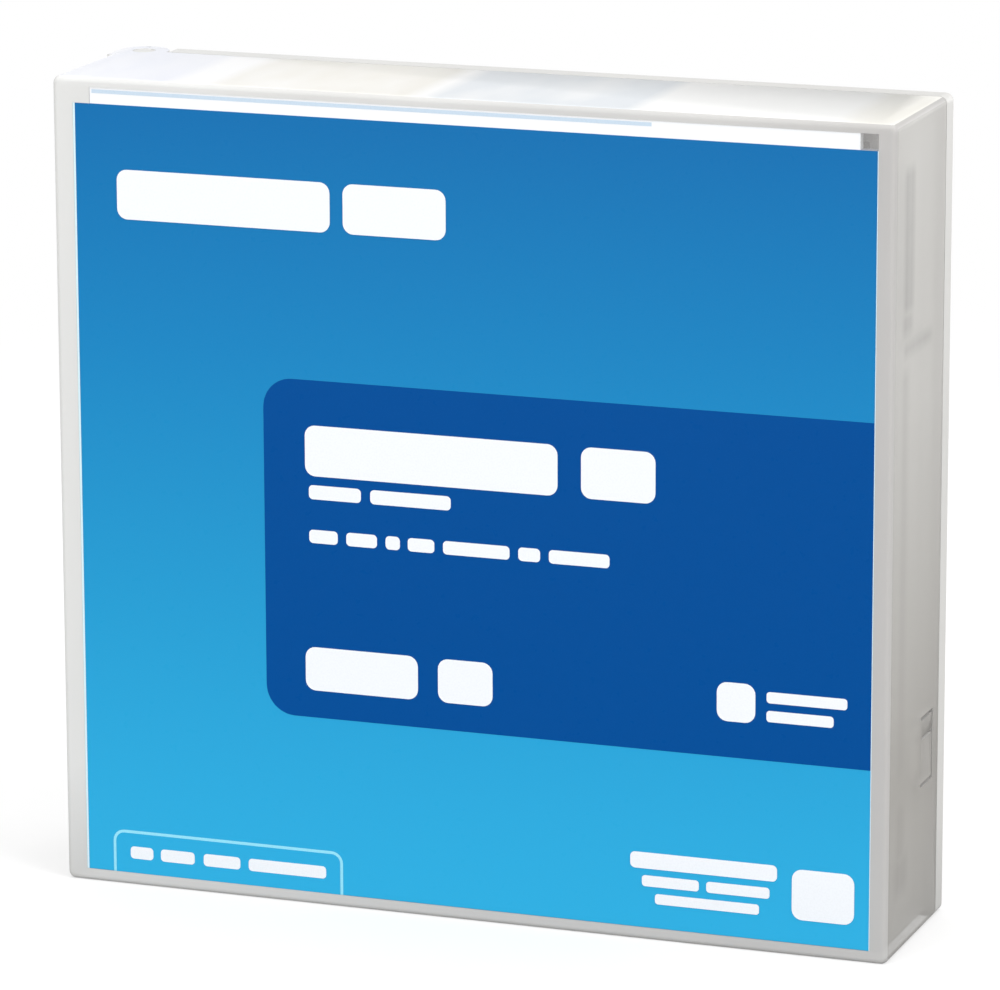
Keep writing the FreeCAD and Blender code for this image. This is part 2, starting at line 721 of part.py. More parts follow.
def make_tab_rail(shell):
    """Window in the label edge for the write-protect tab, and the rib that the tab slides along."""
    near_x = "-tab_left + tab_window_inset"
    low = "shell_wall + tab_window_low"
    window = box(near_x, near_x + " + tab_window_width", "-(%s) - tab_window_high" % low, "-(%s)" % low)
    shell.cut("XY_Plane", "-inside_z + shell_wall / 2", "shell_wall * 2", [window])
    near_z = "-tab_out + tab_thick + 2 * tab_fit"
    rib = box("-tab_left - shell_wall", "-tab_left + tab_width + tab_travel + shell_wall",
              near_z, near_z + " + shell_wall / 2")
    shell.pad("XZ_Plane", "shell_wall / 2", "shell_wall / 2 + tab_height / 2", [rib])


CHIP_PLACE = ("inside_x - chip_inset", "-inside_z + chip_inset")


def make_chip_holder(shell):
    """Two ribs across the label edge's right corner, with the memory board between them."""
    near_side = "chip_thick / 2 + chip_fit"
    far_side = near_side + " + chip_rib"
    for low, high in (("-(%s)" % far_side, "-(%s)" % near_side), (near_side, far_side)):
        rib = slanted_box(*CHIP_PLACE, "45deg", "chip_length / 3", low, high)
        shell.pad("XZ_Plane", "shell_wall / 2", "shell_wall / 2 + chip_height / 2", [rib])


def make_upper_shell():
    """Top half: roof with grip grooves, label recess, screw bosses and the key that holds the lock."""
    shell = Piece("upper_shell", CARTRIDGE)
    shell.pad("XZ_Plane", "shell_split", "shell_height - shell_split", [shell_outline()])
    shell.fillet("shell_corner", upright_corner("shell_x", "-shell_z", "shell_z"))
    shell.chamfer("shell_edge", flat_at_y("-shell_height"))
    shell.cut("XZ_Plane", "shell_split", "roof - shell_split", [shell_hollow()], flip=True)
    for x, along in SCREW_PLACES:
        shell.pad("XZ_Plane", "roof + shell_wall / 2", "roof + shell_wall / 2 - shell_split",
                  circles=[(x, along, "boss_radius")], flip=True)
        shell.cut("XZ_Plane", "shell_split", "screw_bite + screw_shank / 2", flip=True,
                  circles=[(x, along, "screw_shank + screw_fit / 2")])
    cut_door_way(shell, "shell_split - shell_wall", "door_lintel")
    cut_gripper_notches(shell, "shell_split", "shell_height - shell_split")
    key = box("-key_long / 2", "key_long / 2", "-key_wide / 2", "key_wide / 2")
    shell.pad("XZ_Plane", "roof + shell_wall / 2", "roof + shell_wall / 2 - column_top + key_reach",
              [key], flip=True)
    label = box("shell_x - label_side - label_width", "shell_x - label_side",
                "-(roof - label_margin)", "-(shell_split + label_margin)")
    shell.cut("XY_Plane", "-shell_z + label_depth", "shell_wall", [label])
    groove = box("-groove_length / 2", "groove_length / 2",
                 "-shell_z + groove_inset", "-shell_z + groove_inset + groove_width")
    first = shell.cut("XZ_Plane", "shell_height", "groove_depth", [groove])
    shell.along(first, "Z_Axis", "groove_spread", "groove_count")
    return shell


def make_shell_screws():
    """Four screws up from the hub side, one node."""
    screws = []
    for number, (x, along) in enumerate(SCREW_PLACES, start=1):
        head = DOC.addObject("Part::Cylinder", "screw_head_%d" % number)
        head.setExpression("Radius", bound("screw_head"))
        head.setExpression("Height", bound("screw_head_high"))
        shank = DOC.addObject("Part::Cylinder", "screw_shank_%d" % number)
        shank.setExpression("Radius", bound("screw_shank"))
        shank.setExpression("Height", bound("screw_head_high + shell_split - screw_sink + screw_bite"))
        screw = DOC.addObject("Part::Fuse", "screw_%d" % number)
        screw.Base = head
        screw.Tool = shank
        screw.Placement.Rotation = FreeCAD.Rotation(FreeCAD.Vector(1, 0, 0), 90)
        start = "screw_sink - screw_head_high"
        screw.setExpression("Placement.Base.x", bound("cartridge_x + (%s)" % x))
        screw.setExpression("Placement.Base.y", bound("cartridge_y - (%s)" % start))
        screw.setExpression("Placement.Base.z", bound("cartridge_z + (%s)" % along))
        screws.append(screw)
    group = DOC.addObject("Part::Compound", "shell_screws")
    group.Links = screws
    group.Label = "shell_screws"
    PARTS.append(group)


def make_door():
    """Sliding plate behind the opening, with the nose that a drive pushes."""
    door = Piece("door", CARTRIDGE)
    plate = box("door_in", "door_out", "door_tail", "door_tip")
    low = "shell_wall + door_fit"
    door.pad("XZ_Plane", low, "roof - door_fit - (%s)" % low, [plate])
    nose = box("door_out - door_thick / 2", "door_out + door_nose_out",
               "door_high - door_fit - door_nose", "door_high - door_fit")
    low = "door_floor + door_nose_gap"
    door.pad("XZ_Plane", low, "door_lintel - door_nose_gap - (%s)" % low, [nose])
    groove = box("door_out - groove_depth", "door_out + groove_depth",
                 "door_low + groove_inset", "door_low + groove_inset + groove_width")
    first = door.cut("XZ_Plane", "roof", "roof", [groove])
    door.along(first, "Z_Axis", "door_way / 3", "4")
    return door


def make_write_protect_tab():
    """Plate behind the window with a grooved nub that shows in it."""
    tab = Piece("write_protect_tab", CARTRIDGE)
    plate = box("-tab_left", "-tab_left + tab_width", "-tab_out", "-tab_out + tab_thick")
    tab.pad("XZ_Plane", "shell_wall + tab_fit", "tab_height", [plate])
    near_x = "-tab_left + tab_window_inset + tab_nub_gap"
    nub = box(near_x, near_x + " + tab_nub_width", "-tab_out - shell_wall * 0.8", "-tab_out + tab_thick / 2")
    low = "shell_wall + tab_window_low + tab_nub_gap"
    tab.pad("XZ_Plane", low, "tab_window_high - 2 * tab_nub_gap", [nub])
    middle_x = near_x + " + tab_nub_width / 2"
    groove = box(middle_x + " - tab_nub_gap", middle_x + " + tab_nub_gap",
                 "-tab_out - shell_wall", "-tab_out - shell_wall / 2")
    tab.cut("XZ_Plane", low + " + tab_window_high", "2 * tab_window_high", [groove])
    return tab


def make_memory_chip():
    """Small board on edge across the corner, with its die."""
    chip = Piece("memory_chip", CARTRIDGE)
    board = slanted_box(*CHIP_PLACE, "45deg", "chip_length / 2", "-chip_thick / 2", "chip_thick / 2")
    chip.pad("XZ_Plane", "shell_wall + chip_fit", "chip_height", [board])
    die = slanted_box(*CHIP_PLACE, "45deg", "die_size / 2", "chip_thick / 4", "chip_thick / 2 + die_rise")
    chip.pad("XZ_Plane", "shell_wall + chip_fit + chip_height - 1.2 * die_size", "die_size", [die])
    return chip


def leg_outline(room):
    """Square of one release-pad leg, with so much room round it."""
    half = "(leg_half + %s)" % room
    return box("leg_circle - " + half, "leg_circle + " + half, "-" + half, half)


def make_reel_hub():
    """Hub, web and lower flange in one moulding, with drive teeth below and brake teeth above."""
    hub = Piece("reel_hub", CARTRIDGE)
    profile = [("0", "web_low"), ("gear_in", "web_low"), ("gear_in", "gear_face"),
               ("gear_out", "gear_face"), ("gear_out", "flange_low"), ("reel_radius", "flange_low"),
               ("reel_radius", "flange_low + flange_thick"),
               ("hub_radius", "flange_low + flange_thick"), ("hub_radius", "upper_flange_low"),
               ("hub_bore", "upper_flange_low"), ("hub_bore", "web_top"), ("0", "web_top")]
    hub.turn("PartDesign::Revolution", profile)
    hole = hub.cut("XZ_Plane", "web_top", "web_thick", [leg_outline("leg_fit")])
    hub.around(hole, "3")
    drive = [tooth("gear_in + gear_land", "gear_out - gear_land", "gear_teeth", "0", TOOTH_SHARE)]
    one = hub.pad("XZ_Plane", "gear_face + touch_gap", "gear_tooth + touch_gap", drive, flip=True)
    one.TaperAngle = -TOOTH_DRAFT
    hub.around(one, "gear_teeth")
    brake = [tooth("brake_in", "brake_out", "brake_teeth", "0", TOOTH_SHARE)]
    one = hub.pad("XZ_Plane", "web_top - touch_gap", "brake_tooth + touch_gap", brake)
    one.TaperAngle = -TOOTH_DRAFT
    hub.around(one, "brake_teeth")
    return hub


def make_upper_flange():
    """Upper flange, welded on the hub's rim."""
    flange = Piece("upper_flange", CARTRIDGE)
    top = "upper_flange_low + flange_thick"
    profile = [("hub_bore", "upper_flange_low"), ("reel_radius", "upper_flange_low"),
               ("reel_radius", top), ("hub_radius", top),
               ("hub_radius", top + " + roof_room / 3"), ("hub_bore", top + " + roof_room / 3")]
    flange.turn("PartDesign::Revolution", profile)
    return flange


def make_tape_pack():
    """The wound tape, one solid."""
    pack = Piece("tape_pack", CARTRIDGE)
    rings = [("0", "0", "tape_outer"), ("0", "0", "hub_radius + clamp_fit")]
    pack.pad("XZ_Plane", "tape_low", "tape_width", circles=rings)
    return pack


def make_drive_plate():
    """Steel washer in the hub's underside, with holes for the release pad's legs."""
    plate = Piece("drive_plate", CARTRIDGE)
    rings = [("0", "0", "plate_radius"), ("0", "0", "plate_hole")]
    plate.pad("XZ_Plane", "web_low - plate_thick", "plate_thick", circles=rings)
    hole = plate.cut("XZ_Plane", "web_low", "plate_thick", [leg_outline("leg_fit")])
    plate.around(hole, "3")
    return plate


def make_reel_lock():
    """Brake button: toothed disc with a keyed column above it and a blunt nib below it."""
    lock = Piece("reel_lock", CARTRIDGE)
    profile = [("0", "pad_top + touch_gap"), ("nib_radius", "pad_top + touch_gap"),
               ("2 * nib_radius", "lock_low"), ("lock_disc", "lock_low"), ("lock_disc", "lock_top"),
               ("lock_column", "lock_top"), ("lock_column", "column_top"), ("0", "column_top")]
    lock.turn("PartDesign::Revolution", profile)
    slot = box("-key_long / 2 - key_fit", "key_long / 2 + key_fit",
               "-key_wide / 2 - key_fit", "key_wide / 2 + key_fit")
    lock.cut("XZ_Plane", "column_top", "lock_column_high", [slot])
    teeth = [tooth("brake_in", "brake_out", "brake_teeth", "0.5", TOOTH_SHARE)]
    one = lock.pad("XZ_Plane", "lock_low + touch_gap", "brake_tooth + touch_gap", teeth, flip=True)
    one.TaperAngle = -TOOTH_DRAFT
    lock.around(one, "brake_teeth")
    return lock


def make_release_pad():
    """Thin plate under the lock, with three legs down through the hub's web and the drive plate."""
    pad = Piece("release_pad", CARTRIDGE)
    pad.pad("XZ_Plane", "pad_low", "pad_thick", circles=[("0", "0", "pad_radius")])
    middle = "pad_low + pad_thick / 2"
    leg = pad.pad("XZ_Plane", middle, middle + " - web_low + plate_thick / 2",
                  [leg_outline("0")], flip=True)
    pad.around(leg, "3")
    return pad


PIN_PLACE = ("cartridge_x + pin_across", "cartridge_y", "cartridge_z + pin_along")


def make_leader_pin():
    """Steel pin at the tape's free end, upright behind the door."""
    pin = Piece("leader_pin", PIN_PLACE)
    low, high = "shell_wall + clip_sheet + touch_gap", "roof - clip_sheet - touch_gap"
    profile = [("0", low), ("pin_head", low), ("pin_head", low + " + pin_head_high"),
               ("pin_radius", low + " + pin_head_high"), ("pin_radius", high + " - pin_head_high"),
               ("pin_head", high + " - pin_head_high"), ("pin_head", high), ("0", high)]
    pin.turn("PartDesign::Revolution", profile)
    return pin


def make_leader_pin_clips():
    """Two U-shaped leaf springs, one on the floor and one under the roof, open towards the door."""
    clips = []
    arm_z = "pin_head + clip_fit"
    for name, low, arm_low in (("low", "shell_wall", "shell_wall + clip_sheet"),
                               ("high", "roof - clip_sheet", "roof - clip_sheet - pin_head_high")):
        base = clip_box(name + "_base", "-clip_length / 2", "clip_length", low, "clip_sheet")
        near_arm = clip_box(name + "_near_arm", arm_z, "clip_sheet", arm_low, "pin_head_high")
        far_arm = clip_box(name + "_far_arm", "-(%s) - clip_sheet" % arm_z, "clip_sheet",
                           arm_low, "pin_head_high")
        clip = DOC.addObject("Part::MultiFuse", "clip_" + name)
        clip.Shapes = [base, near_arm, far_arm]
        clips.append(clip)
    group = DOC.addObject("Part::Compound", "leader_pin_clips")
    group.Links = clips
    group.Label = "leader_pin_clips"
    PARTS.append(group)


def clip_box(name, along, length, rise, height):
    """Box as wide as the clip, beside the leader pin's axis."""
    plain = DOC.addObject("Part::Box", "clip_" + name)
    plain.setExpression("Length", bound("clip_width"))
    plain.setExpression("Width", bound(height))
    plain.setExpression("Height", bound(length))
    plain.setExpression("Placement.Base.x", bound(PIN_PLACE[0] + " - clip_width / 2"))
    plain.setExpression("Placement.Base.y", bound("%s - (%s) - (%s)" % (PIN_PLACE[1], rise, height)))
    plain.setExpression("Placement.Base.z", bound("%s + (%s)" % (PIN_PLACE[2], along)))
    return plain


def make_tape_clamp():
    """C-shaped clip that holds the tape's end round the pin."""
    clamp = Piece("tape_clamp", PIN_PLACE)
    rings = [("0", "0", "pin_radius + clamp_thick"), ("0", "0", "pin_radius + clamp_fit")]
    clamp.pad("XZ_Plane", "tape_low", "tape_width", circles=rings)
    mouth = box("0", "pin_radius + 2 * clamp_thick", "-clamp_mouth / 2", "clamp_mouth / 2")
    clamp.cut("XZ_Plane", "tape_low - clamp_thick", "tape_width + 2 * clamp_thick", [mouth], flip=True)
    return clamp


def make_tape_leader():
    """Free end of the tape, straight from the pack's outside to the clamp round the pin."""
    leader = Piece("tape_leader", CARTRIDGE)
    middle = ("leader_lift * cos(leader_turn) + leader_length / 2 * sin(leader_turn)",
              "leader_lift * sin(leader_turn) - leader_length / 2 * cos(leader_turn)")
    strip = slanted_box(*middle, "leader_turn - 90deg", "leader_length / 2", "0", "leader_thick")
    leader.pad("XZ_Plane", "tape_low", "tape_width", [strip])
    return leader


def make_coil(name, radius, wire, length, turns, sides, steps):
    """Coil spring along +Z from the origin, with a few-sided wire swept along a few-sided helix."""
    count = int(turns * steps)
    points = []
    for step in range(count + 1):
        angle = 2 * math.pi * step / steps
        rise = length * step / count
        points.append(FreeCAD.Vector(radius * math.cos(angle), radius * math.sin(angle), rise))
    heading = (points[1] - points[0]).normalize()
    across = heading.cross(FreeCAD.Vector(1, 0, 0)).normalize()
    out = across.cross(heading).normalize()
    ring = []
    for side in range(sides):
        angle = 2 * math.pi * side / sides
        ring.append(points[0] + out * (wire * math.cos(angle)) + across * (wire * math.sin(angle)))
    sweep = Part.BRepOffsetAPI.MakePipeShell(Part.makePolygon(points))
    sweep.setTransitionMode(1)
    sweep.add(Part.makePolygon(ring + ring[:1]))
    sweep.build()
    sweep.makeSolid()
    spring = DOC.addObject("Part::Feature", name)
    spring.Shape = sweep.shape()
    spring.Label = name
    PARTS.append(spring)
    return spring


def make_springs():
    """Door spring in the side channel, and the lock's spring round its column."""
    wire = value("door_spring_wire")
    slack = wire + value("touch_gap")
    door_spring = make_coil("door_spring", value("door_spring_radius"), wire,
                            value("door_spring_length") - 2 * slack, turns=10, sides=4, steps=7)
    door_spring.Placement.Base = FreeCAD.Vector(value("cartridge_x + (door_in + door_out) / 2"),
                                                value("cartridge_y - door_spring_rise"),
                                                value("cartridge_z + spring_end") + slack)
    wire = value("lock_spring_wire")
    slack = wire + value("touch_gap")
    low = value("lock_top") + slack
    lock_spring = make_coil("lock_spring", value("lock_spring_radius"), wire,
                            value("roof") - slack - low, turns=3, sides=5, steps=12)
    lock_spring.Placement = FreeCAD.Placement(
        FreeCAD.Vector(value("cartridge_x"), value("cartridge_y") - low, value("cartridge_z")),
        FreeCAD.Rotation(FreeCAD.Vector(1, 0, 0), 90))


def check_and_write():
    """Stop on any failed object or bad shape, then write one STEP file a piece."""
    DOC.recompute()
    for thing in DOC.Objects:
        if "Invalid" in thing.State or "Error" in thing.State:
            raise RuntimeError("failed object: " + thing.Name)
    for part in PARTS:
        if part.Shape.isNull() or not part.Shape.isValid() or not part.Shape.Solids:
            raise RuntimeError("bad shape: " + part.Label)
    os.makedirs("parts", exist_ok=True)
    for part in PARTS:
        part.Shape.exportStep("parts/%s.step" % part.Label)
        print("%-20s %d solid(s) %10.1f mm3" % (part.Label, len(part.Shape.Solids), part.Shape.Volume))


fill_sheet()
make_case_lid()
make_case_tray()
make_insert_card()
make_lower_shell()
make_upper_shell()
make_shell_screws()
make_door()
make_write_protect_tab()
make_memory_chip()
make_reel_hub()
make_upper_flange()
make_tape_pack()
make_drive_plate()
make_reel_lock()
make_release_pad()
make_leader_pin()
make_leader_pin_clips()
make_tape_clamp()
make_tape_leader()
make_springs()
check_and_write()
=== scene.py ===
"""Looks of a data tape cartridge in its frosted storage case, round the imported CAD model.

Each CAD node gets a procedural material. Two pieces are added: frosted_lid, which is the CAD lid
opened where the card lies against its panel, and lid_window, the panel's clear part in that
opening, with the print that shows through it. The floor, the lights and the camera come last.
Materials work in millimetres of the shared frame: x across, y from front to back, z up.
"""

import math

import bmesh
import bpy
from mathutils import Matrix, Vector


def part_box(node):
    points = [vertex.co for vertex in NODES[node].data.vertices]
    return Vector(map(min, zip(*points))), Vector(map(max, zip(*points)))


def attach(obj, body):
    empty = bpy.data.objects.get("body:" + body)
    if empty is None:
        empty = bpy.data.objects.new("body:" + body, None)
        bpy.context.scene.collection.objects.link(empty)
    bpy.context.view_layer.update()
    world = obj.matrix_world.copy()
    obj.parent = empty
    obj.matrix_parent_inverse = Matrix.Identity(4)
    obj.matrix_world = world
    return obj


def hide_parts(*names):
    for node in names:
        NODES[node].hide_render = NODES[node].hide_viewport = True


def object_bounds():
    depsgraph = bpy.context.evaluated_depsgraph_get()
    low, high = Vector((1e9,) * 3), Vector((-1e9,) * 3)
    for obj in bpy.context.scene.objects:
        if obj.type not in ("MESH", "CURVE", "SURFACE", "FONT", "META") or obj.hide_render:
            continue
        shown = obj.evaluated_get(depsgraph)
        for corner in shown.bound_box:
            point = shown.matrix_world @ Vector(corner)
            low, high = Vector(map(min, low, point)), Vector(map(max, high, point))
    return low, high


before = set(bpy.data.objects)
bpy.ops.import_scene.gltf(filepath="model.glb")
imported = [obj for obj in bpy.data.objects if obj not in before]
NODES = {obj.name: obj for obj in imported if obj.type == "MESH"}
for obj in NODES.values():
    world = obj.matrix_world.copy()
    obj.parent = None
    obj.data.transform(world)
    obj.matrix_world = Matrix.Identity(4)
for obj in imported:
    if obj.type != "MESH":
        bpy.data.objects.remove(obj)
cad_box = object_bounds()

MM = 0.001
# Slack, in millimetres, for telling the card's flap from the rest of it.
FLAP_SLACK = 0.05


def box_mm(node):
    """Lowest and highest corner of a CAD node, in millimetres."""
    low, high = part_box(node)
    return low / MM, high / MM


LID_LOW, LID_HIGH = box_mm("case_lid")
TRAY_LOW, TRAY_HIGH = box_mm("case_tray")
CARD_LOW, CARD_HIGH = box_mm("insert_card")
CARD_WIDTH = CARD_HIGH.x - CARD_LOW.x
CARD_POINTS = [vertex.co / MM for vertex in NODES["insert_card"].data.vertices]
FLAP_ACROSS = [point.x for point in CARD_POINTS if point.z > CARD_HIGH.z - FLAP_SLACK]
FLAP_LEFT, FLAP_RIGHT = min(FLAP_ACROSS), max(FLAP_ACROSS)
# Top of the card's front face beside the flap, which is narrower than the card.
SHOULDER = max(point.z for point in CARD_POINTS if point.x < FLAP_LEFT - 2 * FLAP_SLACK)


def srgb(red, green, blue):
    """Linear colour of an sRGB one given from 0 to 255."""
    def linear(part):
        part /= 255
        return part / 12.92 if part <= 0.04045 else ((part + 0.055) / 1.055) ** 2.4
    return (linear(red), linear(green), linear(blue), 1.0)


def scaled(colour, factor, lift=0.0):
    """A lighter or darker colour of the same hue."""
    return [part * factor + lift for part in colour[:3]] + [1.0]


# Ranges that noise is spread from: most of it, and most of it but the lowest part.
USUAL = (0.3, 0.7)
UPPER = (0.4, 0.7)


class Looks:
    """One Principled material and the nodes behind it."""

    def __init__(self, name, **constants):
        self.material = bpy.data.materials.new(name)
        self.material.use_nodes = True
        self.tree = self.material.node_tree
        self.tree.nodes.clear()
        self.shader = self.add("ShaderNodeBsdfPrincipled")
        output = self.add("ShaderNodeOutputMaterial")
        self.tree.links.new(self.shader.outputs[0], output.inputs["Surface"])
        self.set(**constants)
        place = self.add("ShaderNodeTexCoord").outputs["Object"]
        millimetres = self.add("ShaderNodeVectorMath", operation="SCALE")
        self.put(millimetres.inputs[0], place)
        self.put(millimetres.inputs["Scale"], 1 / MM)
        self.point = millimetres.outputs[0]
        split = self.add("ShaderNodeSeparateXYZ")
        self.put(split.inputs[0], self.point)
        self.x, self.y, self.z = split.outputs

    def add(self, kind, **settings):
        """New node with its settings."""
        node = self.tree.nodes.new(kind)
        for setting, choice in settings.items():
            setattr(node, setting, choice)
        return node

    def put(self, socket, source):
        """Links source to a socket, or sets it where source is a number or colour."""
        if isinstance(source, bpy.types.NodeSocket):
            self.tree.links.new(source, socket)
        else:
            socket.default_value = source

    def set(self, **sources):
        """Puts each source in the shader's socket of that name."""
        for socket, source in sources.items():
            self.put(self.shader.inputs[socket.replace("_", " ")], source)

    def math(self, operation, *sources):
        """Result of one operation."""
        node = self.add("ShaderNodeMath", operation=operation)
        for number, source in enumerate(sources):
            self.put(node.inputs[number], source)
        return node.outputs[0]

    def length(self, first, second):
        """Length of the line that goes first one way and second the other."""
        squares = self.math("MULTIPLY_ADD", first, first, self.math("MULTIPLY", second, second))
        return self.math("SQRT", squares)

    def mix(self, share, first, second):
        """Colour from first to second."""
        node = self.add("ShaderNodeMix", data_type="RGBA")
        self.put(node.inputs[0], share)
        self.put(node.inputs[6], first)
        self.put(node.inputs[7], second)
        return node.outputs[2]

    def spread(self, source, low, high, from_low=0.0, from_high=1.0):
        """Maps a number from one range to another, clamped."""
        node = self.add("ShaderNodeMapRange", clamp=True)
        for socket, number in zip(node.inputs, (source, from_low, from_high, low, high)):
            self.put(socket, number)
        return node.outputs[0]

    def noise(self, size, detail=2.0, stretch=(1.0, 1.0, 1.0)):
        """Noise from 0 to 1 whose features are about size millimetres across."""
        place = self.add("ShaderNodeMapping")
        self.put(place.inputs[0], self.point)
        self.put(place.inputs["Scale"], [part / size for part in stretch])
        node = self.add("ShaderNodeTexNoise")
        self.put(node.inputs["Vector"], place.outputs[0])
        self.put(node.inputs["Scale"], 1.0)
        self.put(node.inputs["Detail"], detail)
        return node.outputs[0]

    def step(self, source, edge, soft=0.06):
        """0 below edge and 1 above it."""
        return self.spread(source, 0.0, 1.0, edge - soft / 2, edge + soft / 2)

    def band(self, source, low, high, soft=0.06):
        """1 between low and high."""
        half = (high - low) / 2
        off = self.math("ABSOLUTE", self.math("SUBTRACT", source, low + half))
        return self.spread(off, 1.0, 0.0, half - soft / 2, half + soft / 2)

    def patch(self, left, right, bottom, top, corner, soft=0.08):
        """1 inside a rectangle of the x-z plane with rounded corners."""
        over = []
        for source, low, high in ((self.x, left, right), (self.z, bottom, top)):
            half = (high - low) / 2
            off = self.math("ABSOLUTE", self.math("SUBTRACT", source, low + half))
            over.append(self.math("SUBTRACT", off, half - corner))
        outside = self.length(*(self.math("MAXIMUM", part, 0.0) for part in over))
        inside = self.math("MINIMUM", self.math("MAXIMUM", *over), 0.0)
        distance = self.math("ADD", outside, inside)
        return self.spread(distance, 1.0, 0.0, corner - soft / 2, corner + soft / 2)

    def disc(self, x, z, radius, soft=0.08):
        """1 inside a circle of the x-z plane."""
        return self.patch(x - radius, x + radius, z - radius, z + radius, radius, soft)

    def bump(self, height, depth):
        """Bump of so many millimetres, on top of any bump so far."""
        node = self.add("ShaderNodeBump")
        self.put(node.inputs["Strength"], 1.0)
        self.put(node.inputs["Distance"], depth * MM)
        self.put(node.inputs["Height"], height)
        normal = self.shader.inputs["Normal"]
        if normal.is_linked:
            self.put(node.inputs["Normal"], normal.links[0].from_socket)
        self.put(normal, node.outputs[0])


def add_piece(name, work, body):
    """Turns a bmesh into a piece that rides on a body."""
    mesh = bpy.data.meshes.new(name)
    work.to_mesh(mesh)
    work.free()
    piece = bpy.data.objects.new(name, mesh)
    bpy.context.scene.collection.objects.link(piece)
    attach(piece, body)
    return piece


def dress(looks, slot, *nodes):
    """Gives CAD nodes their material."""
    for node in nodes:
        piece = NODES[node]
        piece.data.materials.clear()
        piece.data.materials.append(looks.material)


# -------------------------------------------------------------------------------------- print
# Places on the print are in millimetres from the card's left and bottom edges.
WHITE_BAND = 104.4
PANEL_LEFT, PANEL_LOW, PANEL_HIGH, PANEL_CORNER = 26.4, 24.1, 69.6, 4.0
# The ground's blue from the bottom, at 0, to the white band, at 1.
GROUND_STOPS = [
    (0.0, srgb(46, 174, 223)),
    (0.35, srgb(34, 153, 205)),
    (0.7, srgb(22, 129, 188)),
    (1.0, srgb(12, 108, 171)),
]
COLOURS = {
    "deep_blue": srgb(0, 76, 148),
    "outline": srgb(150, 225, 245),
    "ink": srgb(240, 243, 247),
    "rule": srgb(198, 215, 230),
    # A painted highlight along the card's cut edges.
    "painted_edge_highlight": srgb(214, 238, 246),
}
# Materials of the window's faces, in order.
TONES = ["ground"] + list(COLOURS)
PAPER, FIBRE = srgb(243, 244, 246), srgb(120, 130, 140)
PRINT_SHINE, PRINT_ROUGH, ROUGH_SPAN = 0.06, 0.32, 0.05
# Depths behind the card's front between which the print ends and bare paper begins.
PRINT_DEPTH = (0.02, 0.06)

SQUARE = (0.0, 0.0, 0.0, 0.0)
# Fields of colour: left, right, bottom, top, corner radii from the bottom left round to the top
# left, tone, and the level in front of the window's face.
FIELDS = [
    (PANEL_LEFT, CARD_WIDTH, PANEL_LOW, PANEL_HIGH, (PANEL_CORNER, 0.0, 0.0, PANEL_CORNER),
     "deep_blue", 1),
    (3.9, 37.0, 0.0, 5.9, (0.0, 0.0, 1.6, 1.6), "outline", 1),
    (4.3, 36.6, 0.0, 5.5, (0.0, 0.0, 1.2, 1.2), "ground", 2),
    (2.7, 79.8, 105.8, 106.3, SQUARE, "rule", 1),
    # Thin painted highlights along the card's left and right cut edges.
    (0.0, 0.3, 0.0, WHITE_BAND, SQUARE, "painted_edge_highlight", 2),
    (CARD_WIDTH - 0.12, CARD_WIDTH, 0.0, WHITE_BAND, SQUARE, "painted_edge_highlight", 2),
]
# Plain bars in the place of lettering, as rows: bottom, top, then the ends of each bar.
BAR_ROWS = [
    (89.3, 95.9, (6.1, 36.0), (37.8, 52.0)),
    (56.8, 63.6, (32.2, 67.2), (70.4, 80.5)),
    (53.7, 55.6, (32.7, 40.0), (41.3, 52.5)),
    (47.8, 49.6, (32.7, 36.7), (37.9, 42.2), (43.4, 45.4), (46.5, 50.2), (51.4, 60.6),
     (61.8, 64.8), (66.0, 74.3)),
    (27.8, 33.7, (32.0, 47.8), (50.6, 58.2)),
    (28.9, 34.1, (88.9, 94.1)),
    (31.8, 33.3, (95.6, 106.4)),
    (29.3, 30.8, (95.6, 104.6)),
    (3.2, 10.0, (99.2, 107.6)),
    (8.0, 10.2, (77.2, 97.2)),
    (5.6, 7.1, (78.8, 86.6), (87.6, 96.2)),
    (3.3, 4.7, (80.6, 94.8)),
    (2.0, 3.7, (6.4, 9.7), (10.8, 15.7), (17.0, 22.3), (23.5, 34.6)),
]
# A bar's corner radius as a share of its height, and at most.
BAR_ROUND, BAR_ROUND_MOST = 0.3, 1.4
BAR_LEVEL = 3
FIELD_STEP = 0.02
# The window's face lies this many steps behind the lid's, which keeps every field inside it.
FACE_LEVEL = 4
CORNER_STEPS = 6
# Pale blocks on the folded flap: left, right and colour.
FLAP_BLOCKS = [
    (6.5, 19.5, srgb(166, 178, 206)),
    (29.5, 49.5, srgb(190, 182, 168)),
    (49.5, 77.0, srgb(168, 185, 206)),
    (90.0, 93.0, srgb(210, 208, 202)),
]


def print_roughness(looks, rough):
    """Roughness that drifts a little about rough."""
    return looks.spread(looks.noise(1.2), rough - ROUGH_SPAN, rough + ROUGH_SPAN, *USUAL)


def field_looks(tone):
    """One flat ink of the print, with the paper's fibre in it."""
    looks = Looks("print_" + tone, IOR=1.45, Specular_IOR_Level=PRINT_SHINE)
    colour = COLOURS[tone]
    fibre = looks.spread(looks.noise(0.25, detail=3.0), 0.0, 0.4, *UPPER)
    looks.set(Base_Color=looks.mix(fibre, colour, scaled(colour, 0.9)),
              Roughness=print_roughness(looks, PRINT_ROUGH))
    return looks


